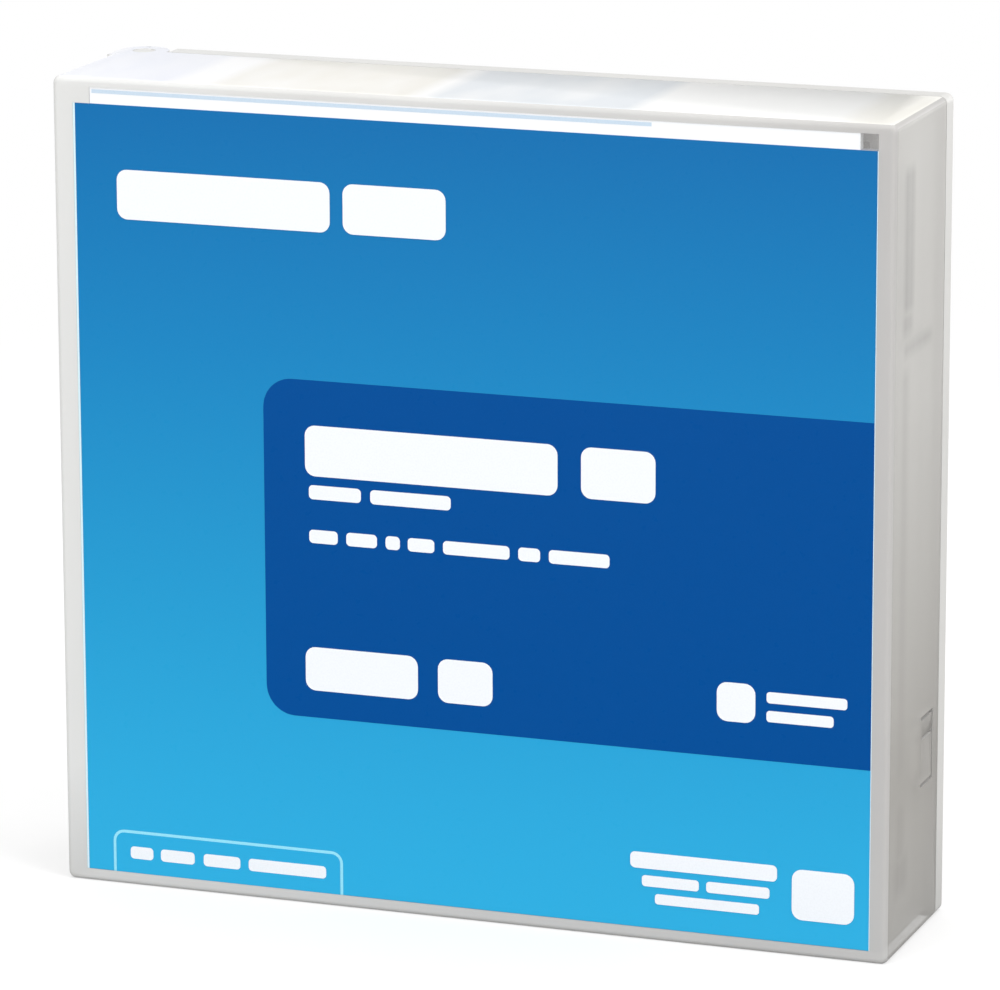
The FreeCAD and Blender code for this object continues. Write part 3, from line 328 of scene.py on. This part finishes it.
def card_looks(name, shine, rough, grain):
    """The ground and the panel on faces at the front, and the blocks on the flap's top."""
    looks = Looks(name, IOR=1.45, Specular_IOR_Level=shine)
    left, bottom = CARD_LOW.x, CARD_LOW.z
    ramp = looks.add("ShaderNodeValToRGB")
    stops = ramp.color_ramp.elements
    stops[0].color, stops[1].color = GROUND_STOPS[0][1], GROUND_STOPS[-1][1]
    for share, colour in GROUND_STOPS[1:-1]:
        stops.new(share).color = colour
    looks.put(ramp.inputs[0], looks.spread(looks.z, 0.0, 1.0, bottom, bottom + WHITE_BAND))
    panel = looks.patch(left + PANEL_LEFT, CARD_HIGH.x + 2 * PANEL_CORNER, bottom + PANEL_LOW,
                        bottom + PANEL_HIGH, PANEL_CORNER)
    front = looks.mix(panel, ramp.outputs[0], COLOURS["deep_blue"])
    front = looks.mix(looks.step(looks.z, bottom + WHITE_BAND), front, PAPER)
    flap = PAPER
    for low, high, tone in FLAP_BLOCKS:
        flap = looks.mix(looks.band(looks.x, left + low, left + high), flap, tone)
    rest = looks.mix(looks.step(looks.z, CARD_HIGH.z - FLAP_SLACK), PAPER, flap)
    at_front = looks.spread(looks.y, 1.0, 0.0, *(CARD_LOW.y + depth for depth in PRINT_DEPTH))
    colour = looks.mix(at_front, rest, front)
    fibre = looks.noise(0.25, detail=3.0)
    looks.set(Base_Color=looks.mix(looks.spread(fibre, 0.0, 0.04), colour, FIBRE),
              Roughness=print_roughness(looks, rough))
    looks.bump(fibre, grain)
    return looks


# ---------------------------------------------------------------------------------------- case
CASE_WALL = 1.2
# Depth from the lid's outside within which a face counts as part of that wall.
WALL_DEPTH = 1.1 * CASE_WALL
RIM_OPACITY, TOP_OPACITY, SIDE_OPACITY, NOTCH_OPACITY = 0.88, 0.86, 0.52, 0.35
TRAY_OPACITY = 0.9
# Painted light across the case: the lit tone at the left, and the shaded tones at the right of the
# lid and of the tray.
LIT_TONE, SHADED_TONE, REAR_SHADED_TONE = srgb(228, 228, 226), srgb(192, 190, 188), srgb(220, 219, 216)
# Painted shade on the case's foot: its tone, its share at the floor, and the height where it ends.
FOOT_SHADE, FOOT_SHADE_SHARE, FOOT_HEIGHT = srgb(194, 193, 191), 0.55, 16.0

# The top wall: its tones and shine, and bands across it, tinted by the card's flap under it and by
# painted shade: left, right and colour.
TOP_BRIGHT, TOP_DULL, TOP_SHINE = srgb(250, 250, 251), srgb(251, 251, 249), 0.2
TOP_FLAP_AND_SHADE_BANDS = [
    (-57.0, -41.0, srgb(237, 239, 246)),
    (-35.0, -7.5, srgb(239, 237, 231)),
    (-5.0, 22.5, srgb(228, 232, 236)),
    (50.0, 60.0, srgb(240, 238, 231)),
]
TOP_SOFT = 2.4

# The right wall: its lit and shaded tones, and soft shapes of painted shade on it, which are
# painted where the photograph shows them: near and far end in depth, bottom, top, softness and
# strength.
SIDE_LIT, SIDE_SHADED = srgb(244, 243, 240), srgb(232, 230, 226)
# Painted shade on the right wall: the tone of its shapes, at its front edge and on its lower part.
SIDE_SHADE, SIDE_FRONT_SHADE, SIDE_LOW_SHADE = srgb(134, 133, 134), srgb(180, 179, 178), srgb(176, 172, 165)
SIDE_SHADE_SHAPES = [
    (-9.0, -4.9, 84.6, 103.0, 1.8, 0.5),
    (-8.6, 4.0, 79.0, 80.6, 1.4, 0.3),
    (-9.4, -5.2, 81.8, 84.6, 1.8, 0.4),
    (-9.4, -6.4, 24.0, 77.0, 2.0, 0.22),
    (-10.2, -4.6, 8.2, 13.0, 2.4, 0.4),
    (-9.6, -6.2, 12.5, 20.0, 2.4, 0.4),
]
# Painted shade near the right wall's front edge: its share there, and the depth where it ends.
FRONT_SHADE_SHARE, FRONT_SHADE_END = 0.2, 6.0
# Painted shade on the right wall's lower part: heights on the wall, and its share at each.
LOW_HEIGHTS, LOW_SHARES = (0.0, 22.0, 72.0), (0.35, 0.68, 0.0)

# The cartridge as it shows through the tray: its tone, softness, and share on back, spine and
# hub. It is painted on the outer skin only: BACK_SKIN deep on the back, and on the spine fading
# out between the two depths of SPINE_SKIN.
SHOWN_TONE, SHOWN_SOFT = srgb(120, 121, 125), 3.0
BACK_SHARE, SPINE_SHARE, HUB_SHARE = 0.62, 0.4, 0.35
BACK_SKIN, SPINE_SKIN = 0.3, (0.25, 0.35)
# Round marks of the mould on the tray's back, as x and z, and the gate's, which is deeper.
EJECTOR_MARKS, EJECTOR_RADIUS = [(-44.0, 14.0), (44.0, 14.0), (-44.0, 96.0), (44.0, 96.0)], 2.5
GATE_MARK, GATE_RADIUS, GATE_TIMES = (0.0, 54.8), 0.9, 3.0
MARK_DEPTH = 0.05


class Frosted(Looks):
    """Milky polypropylene with faint flow marks, and painted shade: darker towards the right and
    at the foot.
    """

    def __init__(self, name, opacity, lit=LIT_TONE, shaded=SHADED_TONE, shine=0.35):
        super().__init__(name, IOR=1.49, Specular_IOR_Level=shine, Alpha=opacity)
        flow = self.noise(30.0, stretch=(1.0, 1.0, 0.45))
        across = self.spread(self.x, 0.0, 1.0, LID_LOW.x, LID_HIGH.x)
        # Painted light: lighter at the left and darker towards the right, with the flow marks
        # mixed in.
        share = self.math("MULTIPLY_ADD", self.spread(flow, -0.2, 0.2, *USUAL), 0.5, across)
        # Painted shade on the foot, strongest at the floor.
        foot = self.spread(self.z, FOOT_SHADE_SHARE, 0.0, 0.0, FOOT_HEIGHT)
        self.colour = self.mix(foot, self.mix(share, lit, shaded), FOOT_SHADE)
        self.set(Base_Color=self.colour, Roughness=self.spread(flow, 0.32, 0.46, 0.35, 0.65))
        self.bump(self.noise(0.4, detail=1.0), 0.006)


def frosted_top():
    """The lid's top wall, with bands across it that show the card's folded flap under it and
    painted shade where the case is deep under it.
    """
    looks = Frosted("frosted_top", TOP_OPACITY, TOP_BRIGHT, TOP_DULL, TOP_SHINE)
    colour = looks.colour
    # Bands of the flap's tint and of painted shade.
    for low, high, tone in TOP_FLAP_AND_SHADE_BANDS:
        colour = looks.mix(looks.band(looks.x, low, high, TOP_SOFT), colour, tone)
    cloud = looks.noise(9.0, detail=3.0, stretch=(1.0, 0.35, 1.0))
    cloud = looks.spread(cloud, 0.0, 0.5, 0.45, 0.7)
    looks.set(Base_Color=looks.mix(cloud, colour, looks.colour))
    return looks


def frosted_side():
    """The lid's right wall, with soft shapes of painted shade on it, painted shade at its front
    edge, and painted shade on its lower part.
    """
    looks = Frosted("frosted_side", SIDE_OPACITY, SIDE_LIT, SIDE_SHADED)
    streak = looks.noise(2.4, stretch=(1.0, 1.0, 0.03))
    streak = looks.spread(streak, 0.65, 1.0, 0.35, 0.65)
    # Soft shapes of painted shade, broken by streaks.
    shade_shapes = 0.0
    for near, far, low, high, soft, strength in SIDE_SHADE_SHAPES:
        shape = looks.math("MULTIPLY", looks.band(looks.y, near, far, soft),
                           looks.band(looks.z, low, high, soft))
        shade_shapes = looks.math("MAXIMUM", looks.math("MULTIPLY", shape, strength), shade_shapes)
    colour = looks.mix(looks.math("MULTIPLY", shade_shapes, streak), looks.colour, SIDE_SHADE)
    # Painted shade near the wall's front edge.
    front_shade = looks.spread(looks.y, FRONT_SHADE_SHARE, 0.0, LID_LOW.y, FRONT_SHADE_END)
    colour = looks.mix(front_shade, colour, SIDE_FRONT_SHADE)
    # Painted shade on the wall's lower part, by height.
    foot, knee, top = LOW_HEIGHTS
    at_foot, at_knee, at_top = LOW_SHARES
    low = looks.math("MINIMUM", looks.spread(looks.z, at_knee, at_top, knee, top),
                     looks.spread(looks.z, at_foot, at_knee, foot, knee))
    looks.set(Base_Color=looks.mix(low, colour, SIDE_LOW_SHADE))
    return looks


def frosted_tray():
    """The tray, with the dark cartridge painted softly on its back and its spine."""
    looks = Frosted("frosted_tray", TRAY_OPACITY, LIT_TONE, REAR_SHADED_TONE)
    low, high = box_mm("upper_shell")[0], box_mm("lower_shell")[1]
    outer = looks.step(looks.y, TRAY_HIGH.y - BACK_SKIN)
    back = looks.patch(low.x, high.x, low.z, high.z, SHOWN_SOFT, SHOWN_SOFT)
    back = looks.math("MULTIPLY", looks.math("MULTIPLY", outer, back), BACK_SHARE)
    spine = looks.math("MULTIPLY", looks.band(looks.y, low.y, high.y, SHOWN_SOFT),
                       looks.band(looks.z, low.z, high.z, SHOWN_SOFT))
    skin = (TRAY_LOW.x + depth for depth in SPINE_SKIN)
    spine = looks.math("MULTIPLY", spine, looks.spread(looks.x, SPINE_SHARE, 0.0, *skin))
    colour = looks.mix(looks.math("MAXIMUM", back, spine), looks.colour, SHOWN_TONE)
    hub_low, hub_high = box_mm("drive_plate")
    middle, radius = (hub_low + hub_high) / 2, (hub_high.x - hub_low.x) / 2
    hub = looks.math("MULTIPLY", looks.disc(middle.x, middle.z, radius, SHOWN_SOFT), outer)
    hub = looks.math("MULTIPLY", hub, HUB_SHARE)
    looks.set(Base_Color=looks.mix(hub, colour, looks.colour))
    pressed = looks.math("MULTIPLY", looks.disc(*GATE_MARK, GATE_RADIUS), GATE_TIMES)
    for x, z in EJECTOR_MARKS:
        pressed = looks.math("ADD", pressed, looks.disc(x, z, EJECTOR_RADIUS))
    looks.bump(looks.math("MULTIPLY", pressed, outer), -MARK_DEPTH)
    return looks


def lid_part(middle, normal):
    """Which material a face of the lid has, by its place in millimetres."""
    under_print = CARD_LOW.x < middle.x < CARD_HIGH.x and CARD_LOW.z < middle.z < SHOULDER
    under_fold = FLAP_LEFT < middle.x < FLAP_RIGHT and SHOULDER < middle.z < CARD_HIGH.z
    beside_fold = FLAP_RIGHT < middle.x < CARD_HIGH.x and SHOULDER < middle.z < CARD_HIGH.z
    if abs(normal.y) > 0.99 and middle.y < CARD_LOW.y:
        if under_print or under_fold:
            return "window"
        if beside_fold:
            return "notch"
    if abs(normal.z) > 0.9 and middle.z > LID_HIGH.z - WALL_DEPTH:
        return "top"
    if abs(normal.x) > 0.9 and middle.x > LID_HIGH.x - WALL_DEPTH:
        return "side"
    return "rim"


def make_lid():
    """The lid, without the part of its panel that the card lies against: that is the window."""
    work = bmesh.new()
    work.from_mesh(NODES["case_lid"].data)
    bmesh.ops.remove_doubles(work, verts=work.verts, dist=1e-6)
    cuts = [((x, 0.0, 0.0), (1, 0, 0)) for x in (CARD_LOW.x, FLAP_LEFT, FLAP_RIGHT, CARD_HIGH.x)]
    cuts += [((0.0, 0.0, z), (0, 0, 1)) for z in (CARD_LOW.z, SHOULDER, CARD_HIGH.z)]
    for place, normal in cuts:
        geometry = list(work.verts) + list(work.edges) + list(work.faces)
        bmesh.ops.bisect_plane(work, geom=geometry, plane_co=Vector(place) * MM, plane_no=normal,
                               dist=1e-7)
    looks = {"rim": Frosted("frosted_rim", RIM_OPACITY),
             "top": frosted_top(),
             "side": frosted_side(),
             "notch": Frosted("frosted_notch", NOTCH_OPACITY)}
    names = list(looks)
    window = []
    for face in work.faces:
        face.smooth = True
        part = lid_part(face.calc_center_median() / MM, face.normal)
        if part == "window":
            window.append(face)
        else:
            face.material_index = names.index(part)
    bmesh.ops.delete(work, geom=window, context="FACES")
    lid = add_piece("frosted_lid", work, "lid")
    lid.data.set_sharp_from_angle(angle=math.radians(30))
    for part in names:
        lid.data.materials.append(looks[part].material)
    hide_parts("case_lid")


def white_bars():
    """The plain bars, as fields."""
    bars = []
    for low, high, *row in BAR_ROWS:
        radius = min(BAR_ROUND * (high - low), BAR_ROUND_MOST)
        bars += [(start, end, low, high, (radius,) * 4, "ink", BAR_LEVEL) for start, end in row]
    return bars


def add_field(work, field, front):
    """Flat field of one colour on the print, as a face with rounded corners."""
    x0, x1, z0, z1, corners, tone, level = field
    points = []
    for number, radius in enumerate(corners):
        x = x0 + radius if number in (0, 3) else x1 - radius
        z = z0 + radius if number < 2 else z1 - radius
        for step in range(CORNER_STEPS + 1 if radius else 1):
            turn = math.radians(180 + 90 * number + 90 * step / CORNER_STEPS)
            points.append((CARD_LOW.x + x + radius * math.cos(turn), front - level * FIELD_STEP,
                           CARD_LOW.z + z + radius * math.sin(turn)))
    face = work.faces.new([work.verts.new(Vector(point) * MM) for point in points])
    face.material_index = TONES.index(tone)


def make_window():
    """The panel's clear part, with the print that lies against it and shows through it."""
    outline = [(CARD_LOW.x, CARD_LOW.z), (CARD_HIGH.x, CARD_LOW.z), (CARD_HIGH.x, SHOULDER),
               (FLAP_RIGHT, SHOULDER), (FLAP_RIGHT, CARD_HIGH.z), (FLAP_LEFT, CARD_HIGH.z),
               (FLAP_LEFT, SHOULDER), (CARD_LOW.x, SHOULDER)]
    front = LID_LOW.y + FACE_LEVEL * FIELD_STEP
    work = bmesh.new()
    rim = work.faces.new([work.verts.new(Vector((x, front, z)) * MM) for x, z in outline])
    behind = bmesh.ops.extrude_face_region(work, geom=[rim])["geom"]
    for part in behind:
        if isinstance(part, bmesh.types.BMVert):
            part.co.y = (LID_LOW.y + CASE_WALL) * MM
    bmesh.ops.recalc_face_normals(work, faces=work.faces)
    for field in FIELDS + white_bars():
        add_field(work, field, front)
    window = add_piece("lid_window", work, "lid")
    ground = card_looks("print_in_window", PRINT_SHINE, PRINT_ROUGH, grain=0.0)
    for looks in [ground] + [field_looks(tone) for tone in TONES[1:]]:
        window.data.materials.append(looks.material)


# ----------------------------------------------------------------------------------- cartridge
# Half the memory board's length and width, the pitch and turns of its coil, and the depth of the
# die's face.
BOARD_HALF = (6.0, 4.0)
COIL_PITCH, COIL_TURNS = 0.32, 5
DIE_FACE = -0.45


def moulded(name, colour, rough, grain_size=0.35, grain=0.012):
    """Opaque moulded plastic with an eroded grain and slightly rubbed high spots."""
    looks = Looks(name, IOR=1.5)
    drift = looks.noise(16.0, detail=3.0)
    speck = looks.noise(grain_size)
    pale = scaled(colour, 1.25, 0.004)
    tone = looks.mix(looks.spread(drift, 0.0, 0.5, 0.35, 0.7), colour, pale)
    looks.set(Base_Color=looks.mix(looks.spread(speck, 0.0, 0.35, 0.55, 0.8), tone, pale),
              Roughness=looks.spread(speck, rough - 0.06, rough + 0.08, *USUAL))
    looks.bump(speck, grain)
    return looks


def metal(name, colour, rough, stretch, size=0.25):
    """Drawn or rolled metal with fine lines along one direction."""
    looks = Looks(name, Metallic=1.0)
    lines = looks.noise(size, stretch=stretch)
    stain = looks.spread(looks.noise(4.0, detail=3.0), 0.0, 0.6, *UPPER)
    looks.set(Base_Color=looks.mix(stain, colour, scaled(colour, 0.82)),
              Roughness=looks.spread(lines, rough - 0.07, rough + 0.1, *USUAL))
    looks.bump(lines, 0.004)
    return looks


def tape_looks():
    """Edges of thousands of turns, as rings round the reel's axis, and the coated face outside."""
    looks = Looks("tape", IOR=1.5)
    low, high = box_mm("tape_pack")
    middle = (low + high) / 2
    radius = looks.length(looks.math("SUBTRACT", looks.x, middle.x),
                          looks.math("SUBTRACT", looks.z, middle.z))
    turns = looks.add("ShaderNodeTexNoise", noise_dimensions="1D")
    looks.put(turns.inputs["W"], radius)
    looks.put(turns.inputs["Scale"], 3.5)
    looks.put(turns.inputs["Detail"], 5.0)
    rings = turns.outputs[0]
    looks.set(Base_Color=looks.mix(looks.spread(rings, 0.0, 1.0, *USUAL), srgb(34, 29, 27),
                                   srgb(62, 54, 50)),
              Roughness=looks.spread(rings, 0.22, 0.36, *USUAL))
    looks.bump(rings, 0.03)
    return looks


def board_looks():
    """Green solder mask over the turns of a flat coil, and a dark die that stands proud."""
    looks = Looks("chip_board", IOR=1.5)
    low, high = box_mm("memory_chip")
    middle = (low + high) / 2
    diagonal = math.sqrt(0.5)
    off_x = looks.math("SUBTRACT", looks.x, middle.x)
    off_z = looks.math("SUBTRACT", looks.z, middle.z)
    along = looks.math("MULTIPLY", looks.math("ADD", off_x, off_z), diagonal)
    depth = looks.math("MULTIPLY", looks.math("SUBTRACT", off_x, off_z), diagonal)
    across = looks.math("SUBTRACT", looks.y, middle.y)
    beyond = [looks.math("SUBTRACT", looks.math("ABSOLUTE", off), half)
              for off, half in zip((along, across), BOARD_HALF)]
    from_edge = looks.math("MAXIMUM", *beyond)
    wave = looks.math("SINE", looks.math("MULTIPLY", from_edge, math.tau / COIL_PITCH))
    coil = looks.math("MULTIPLY", looks.step(wave, 0.0, 0.5),
                      looks.band(from_edge, -(COIL_TURNS + 1) * COIL_PITCH, -COIL_PITCH))
    mask = looks.noise(1.5, detail=3.0)
    green = looks.mix(looks.spread(mask, 0.0, 0.6, *UPPER), srgb(22, 88, 50), srgb(34, 104, 62))
    colour = looks.mix(coil, green, srgb(74, 138, 84))
    die = looks.math("SUBTRACT", 1.0, looks.step(depth, DIE_FACE))
    looks.set(Base_Color=looks.mix(die, colour, srgb(26, 26, 28)),
              Roughness=looks.spread(mask, 0.26, 0.36, *USUAL))
    looks.bump(coil, 0.02)
    return looks


def dress_nodes():
    """Gives every CAD node but the lid, which a piece replaces, its material."""
    dress(frosted_tray(), "case_plastic", "case_tray")
    dress(card_looks("printed_card", shine=0.3, rough=0.5, grain=0.004), "card", "insert_card")
    dress(moulded("shell_plastic", srgb(44, 45, 49), 0.5), "shell_plastic",
          "upper_shell", "lower_shell", "door")
    dress(metal("plain_steel", srgb(190, 190, 193), 0.3, stretch=(1.0, 0.12, 1.0)), "steel",
          "shell_screws", "drive_plate", "leader_pin")
    dress(metal("spring_steel", srgb(176, 177, 182), 0.26, stretch=(1.0, 0.3, 1.0), size=0.15),
          "spring_steel", "door_spring", "lock_spring", "leader_pin_clips")
    dress(moulded("tab_plastic", srgb(196, 62, 44), 0.42), "tab_plastic", "write_protect_tab")
    dress(board_looks(), "circuit_board", "memory_chip")
    dress(moulded("reel_plastic", srgb(222, 223, 224), 0.4, grain_size=0.5, grain=0.008),
          "reel_plastic", "reel_hub", "upper_flange")
    dress(tape_looks(), "tape", "tape_pack", "tape_leader")
    dress(moulded("lock_plastic", srgb(235, 236, 238), 0.38), "lock_plastic",
          "reel_lock", "release_pad", "tape_clamp")


make_lid()
make_window()
dress_nodes()

# --------------------------------------------------------------------------- floor and lights
WHITE = (1.0, 1.0, 1.0, 1.0)
FLOOR_RADIUS, FLOOR_CORNERS = 0.9, 64
# Distances from the middle between which the floor fades into the backdrop.
FADE_FROM, FADE_TO = 0.12, 0.42
# The camera sees paint, which keeps the shadow, with a glow over it. Other rays see only a
# darker paint, so that little light comes back up from the floor.
FLOOR_SEEN, FLOOR_GLOW = (0.5, 0.5, 0.5, 1.0), 0.5
FLOOR_BOUNCE = (0.45, 0.45, 0.45, 1.0)
WORLD_LIGHT = 0.42
# Square lamps that look at the object: name, place, width and power.
LAMPS = [
    ("key", (-0.42, -0.62, 0.62), 0.5, 2.2),
    ("top", (0.02, 0.05, 0.80), 1.2, 4.5),
    ("fill", (0.75, -0.30, 0.50), 0.5, 4.5),
    ("rear", (0.50, 0.80, 0.18), 0.5, 1.9),
    ("front", (-0.25, -0.95, 0.20), 0.5, 3.0),
]
CENTRE = (cad_box[0] + cad_box[1]) / 2


def make_floor():
    """Pale disc that keeps the shadow and fades into the white backdrop."""
    mesh = bpy.data.meshes.new("floor")
    turns = [math.tau * i / FLOOR_CORNERS for i in range(FLOOR_CORNERS)]
    rim = [(FLOOR_RADIUS * math.cos(turn), FLOOR_RADIUS * math.sin(turn), 0.0) for turn in turns]
    mesh.from_pydata(rim, [], [range(FLOOR_CORNERS)])
    floor = bpy.data.objects.new("floor", mesh)
    bpy.context.scene.collection.objects.link(floor)
    material = bpy.data.materials.new("floor")
    material.use_nodes = True
    tree = material.node_tree
    tree.nodes.clear()
    path = tree.nodes.new("ShaderNodeLightPath")
    seen = tree.nodes.new("ShaderNodeMix")
    seen.data_type = "RGBA"
    seen.inputs[6].default_value = FLOOR_BOUNCE
    seen.inputs[7].default_value = FLOOR_SEEN
    paint = tree.nodes.new("ShaderNodeBsdfDiffuse")
    glow = tree.nodes.new("ShaderNodeEmission")
    glow.inputs["Color"].default_value = WHITE
    glow_strength = tree.nodes.new("ShaderNodeMath")
    glow_strength.operation = "MULTIPLY"
    glow_strength.inputs[1].default_value = FLOOR_GLOW
    both = tree.nodes.new("ShaderNodeAddShader")
    clear = tree.nodes.new("ShaderNodeBsdfTransparent")
    place = tree.nodes.new("ShaderNodeTexCoord")
    length = tree.nodes.new("ShaderNodeVectorMath")
    length.operation = "LENGTH"
    fade = tree.nodes.new("ShaderNodeMapRange")
    fade.interpolation_type = "SMOOTHSTEP"
    fade.inputs["From Min"].default_value = FADE_FROM
    fade.inputs["From Max"].default_value = FADE_TO
    blend = tree.nodes.new("ShaderNodeMixShader")
    output = tree.nodes.new("ShaderNodeOutputMaterial")
    for source, socket in (
        (path.outputs["Is Camera Ray"], seen.inputs[0]),
        (seen.outputs[2], paint.inputs["Color"]),
        (place.outputs["Object"], length.inputs[0]),
        (length.outputs["Value"], fade.inputs["Value"]),
        (fade.outputs[0], blend.inputs[0]),
        (path.outputs["Is Camera Ray"], glow_strength.inputs[0]),
        (glow_strength.outputs[0], glow.inputs["Strength"]),
        (paint.outputs[0], both.inputs[0]),
        (glow.outputs[0], both.inputs[1]),
        (both.outputs[0], blend.inputs[1]),
        (clear.outputs[0], blend.inputs[2]),
        (blend.outputs[0], output.inputs["Surface"]),
    ):
        tree.links.new(source, socket)
    mesh.materials.append(material)


def make_world(light):
    """White to the camera and through the case, and an even dimmer light on the object."""
    world = bpy.data.worlds.new("studio")
    bpy.context.scene.world = world
    world.use_nodes = True
    tree = world.node_tree
    tree.nodes.clear()
    path = tree.nodes.new("ShaderNodeLightPath")
    seen = tree.nodes.new("ShaderNodeMath")
    seen.operation = "ADD"
    seen.use_clamp = True
    strength = tree.nodes.new("ShaderNodeMapRange")
    strength.inputs["To Min"].default_value = light
    strength.inputs["To Max"].default_value = 1.0
    background = tree.nodes.new("ShaderNodeBackground")
    background.inputs["Color"].default_value = WHITE
    output = tree.nodes.new("ShaderNodeOutputWorld")
    for source, socket in (
        (path.outputs["Is Camera Ray"], seen.inputs[0]),
        (path.outputs["Is Transmission Ray"], seen.inputs[1]),
        (seen.outputs[0], strength.inputs["Value"]),
        (strength.outputs[0], background.inputs["Strength"]),
        (background.outputs[0], output.inputs["Surface"]),
    ):
        tree.links.new(source, socket)


def make_lamp(name, place, width, power):
    """Soft square lamp that looks at the middle of the object."""
    data = bpy.data.lights.new(name, "AREA")
    data.shape = "SQUARE"
    data.size = width
    data.energy = power
    lamp = bpy.data.objects.new(name, data)
    lamp.location = place
    lamp.rotation_euler = (CENTRE - Vector(place)).to_track_quat("-Z", "Y").to_euler()
    bpy.context.scene.collection.objects.link(lamp)


# -------------------------------------------------------------------------------------- camera
AZIMUTH, ELEVATION, ROLL = 0.350387, 0.235375, -0.002961
LENS = 217.5
DISTANCE = 0.7831187
SHIFT_RIGHT, SHIFT_UP = 0.0044249, 0.0028446


def make_camera():
    """Camera at the photograph's angle, aimed by the middle of the case's front."""
    back = Vector((math.sin(AZIMUTH) * math.cos(ELEVATION),
                   -math.cos(AZIMUTH) * math.cos(ELEVATION), math.sin(ELEVATION)))
    level = (-back).cross(Vector((0.0, 0.0, 1.0))).normalized()
    upright = level.cross(-back)
    right = math.cos(ROLL) * level + math.sin(ROLL) * upright
    up = -math.sin(ROLL) * level + math.cos(ROLL) * upright
    aim = Vector((CENTRE.x, cad_box[0].y, CENTRE.z))
    data = bpy.data.cameras.new("camera")
    data.lens = LENS
    data.clip_start, data.clip_end = 0.01, 20.0
    camera = bpy.data.objects.new("camera", data)
    place = aim + DISTANCE * back + SHIFT_RIGHT * right + SHIFT_UP * up
    turn = Matrix((right, up, back)).transposed().to_4x4()
    camera.matrix_world = Matrix.Translation(place) @ turn
    bpy.context.scene.collection.objects.link(camera)
    bpy.context.scene.camera = camera


make_floor()
make_world(WORLD_LIGHT)
for lamp in LAMPS:
    make_lamp(*lamp)
make_camera()
bpy.context.scene.view_settings.view_transform = "Standard"
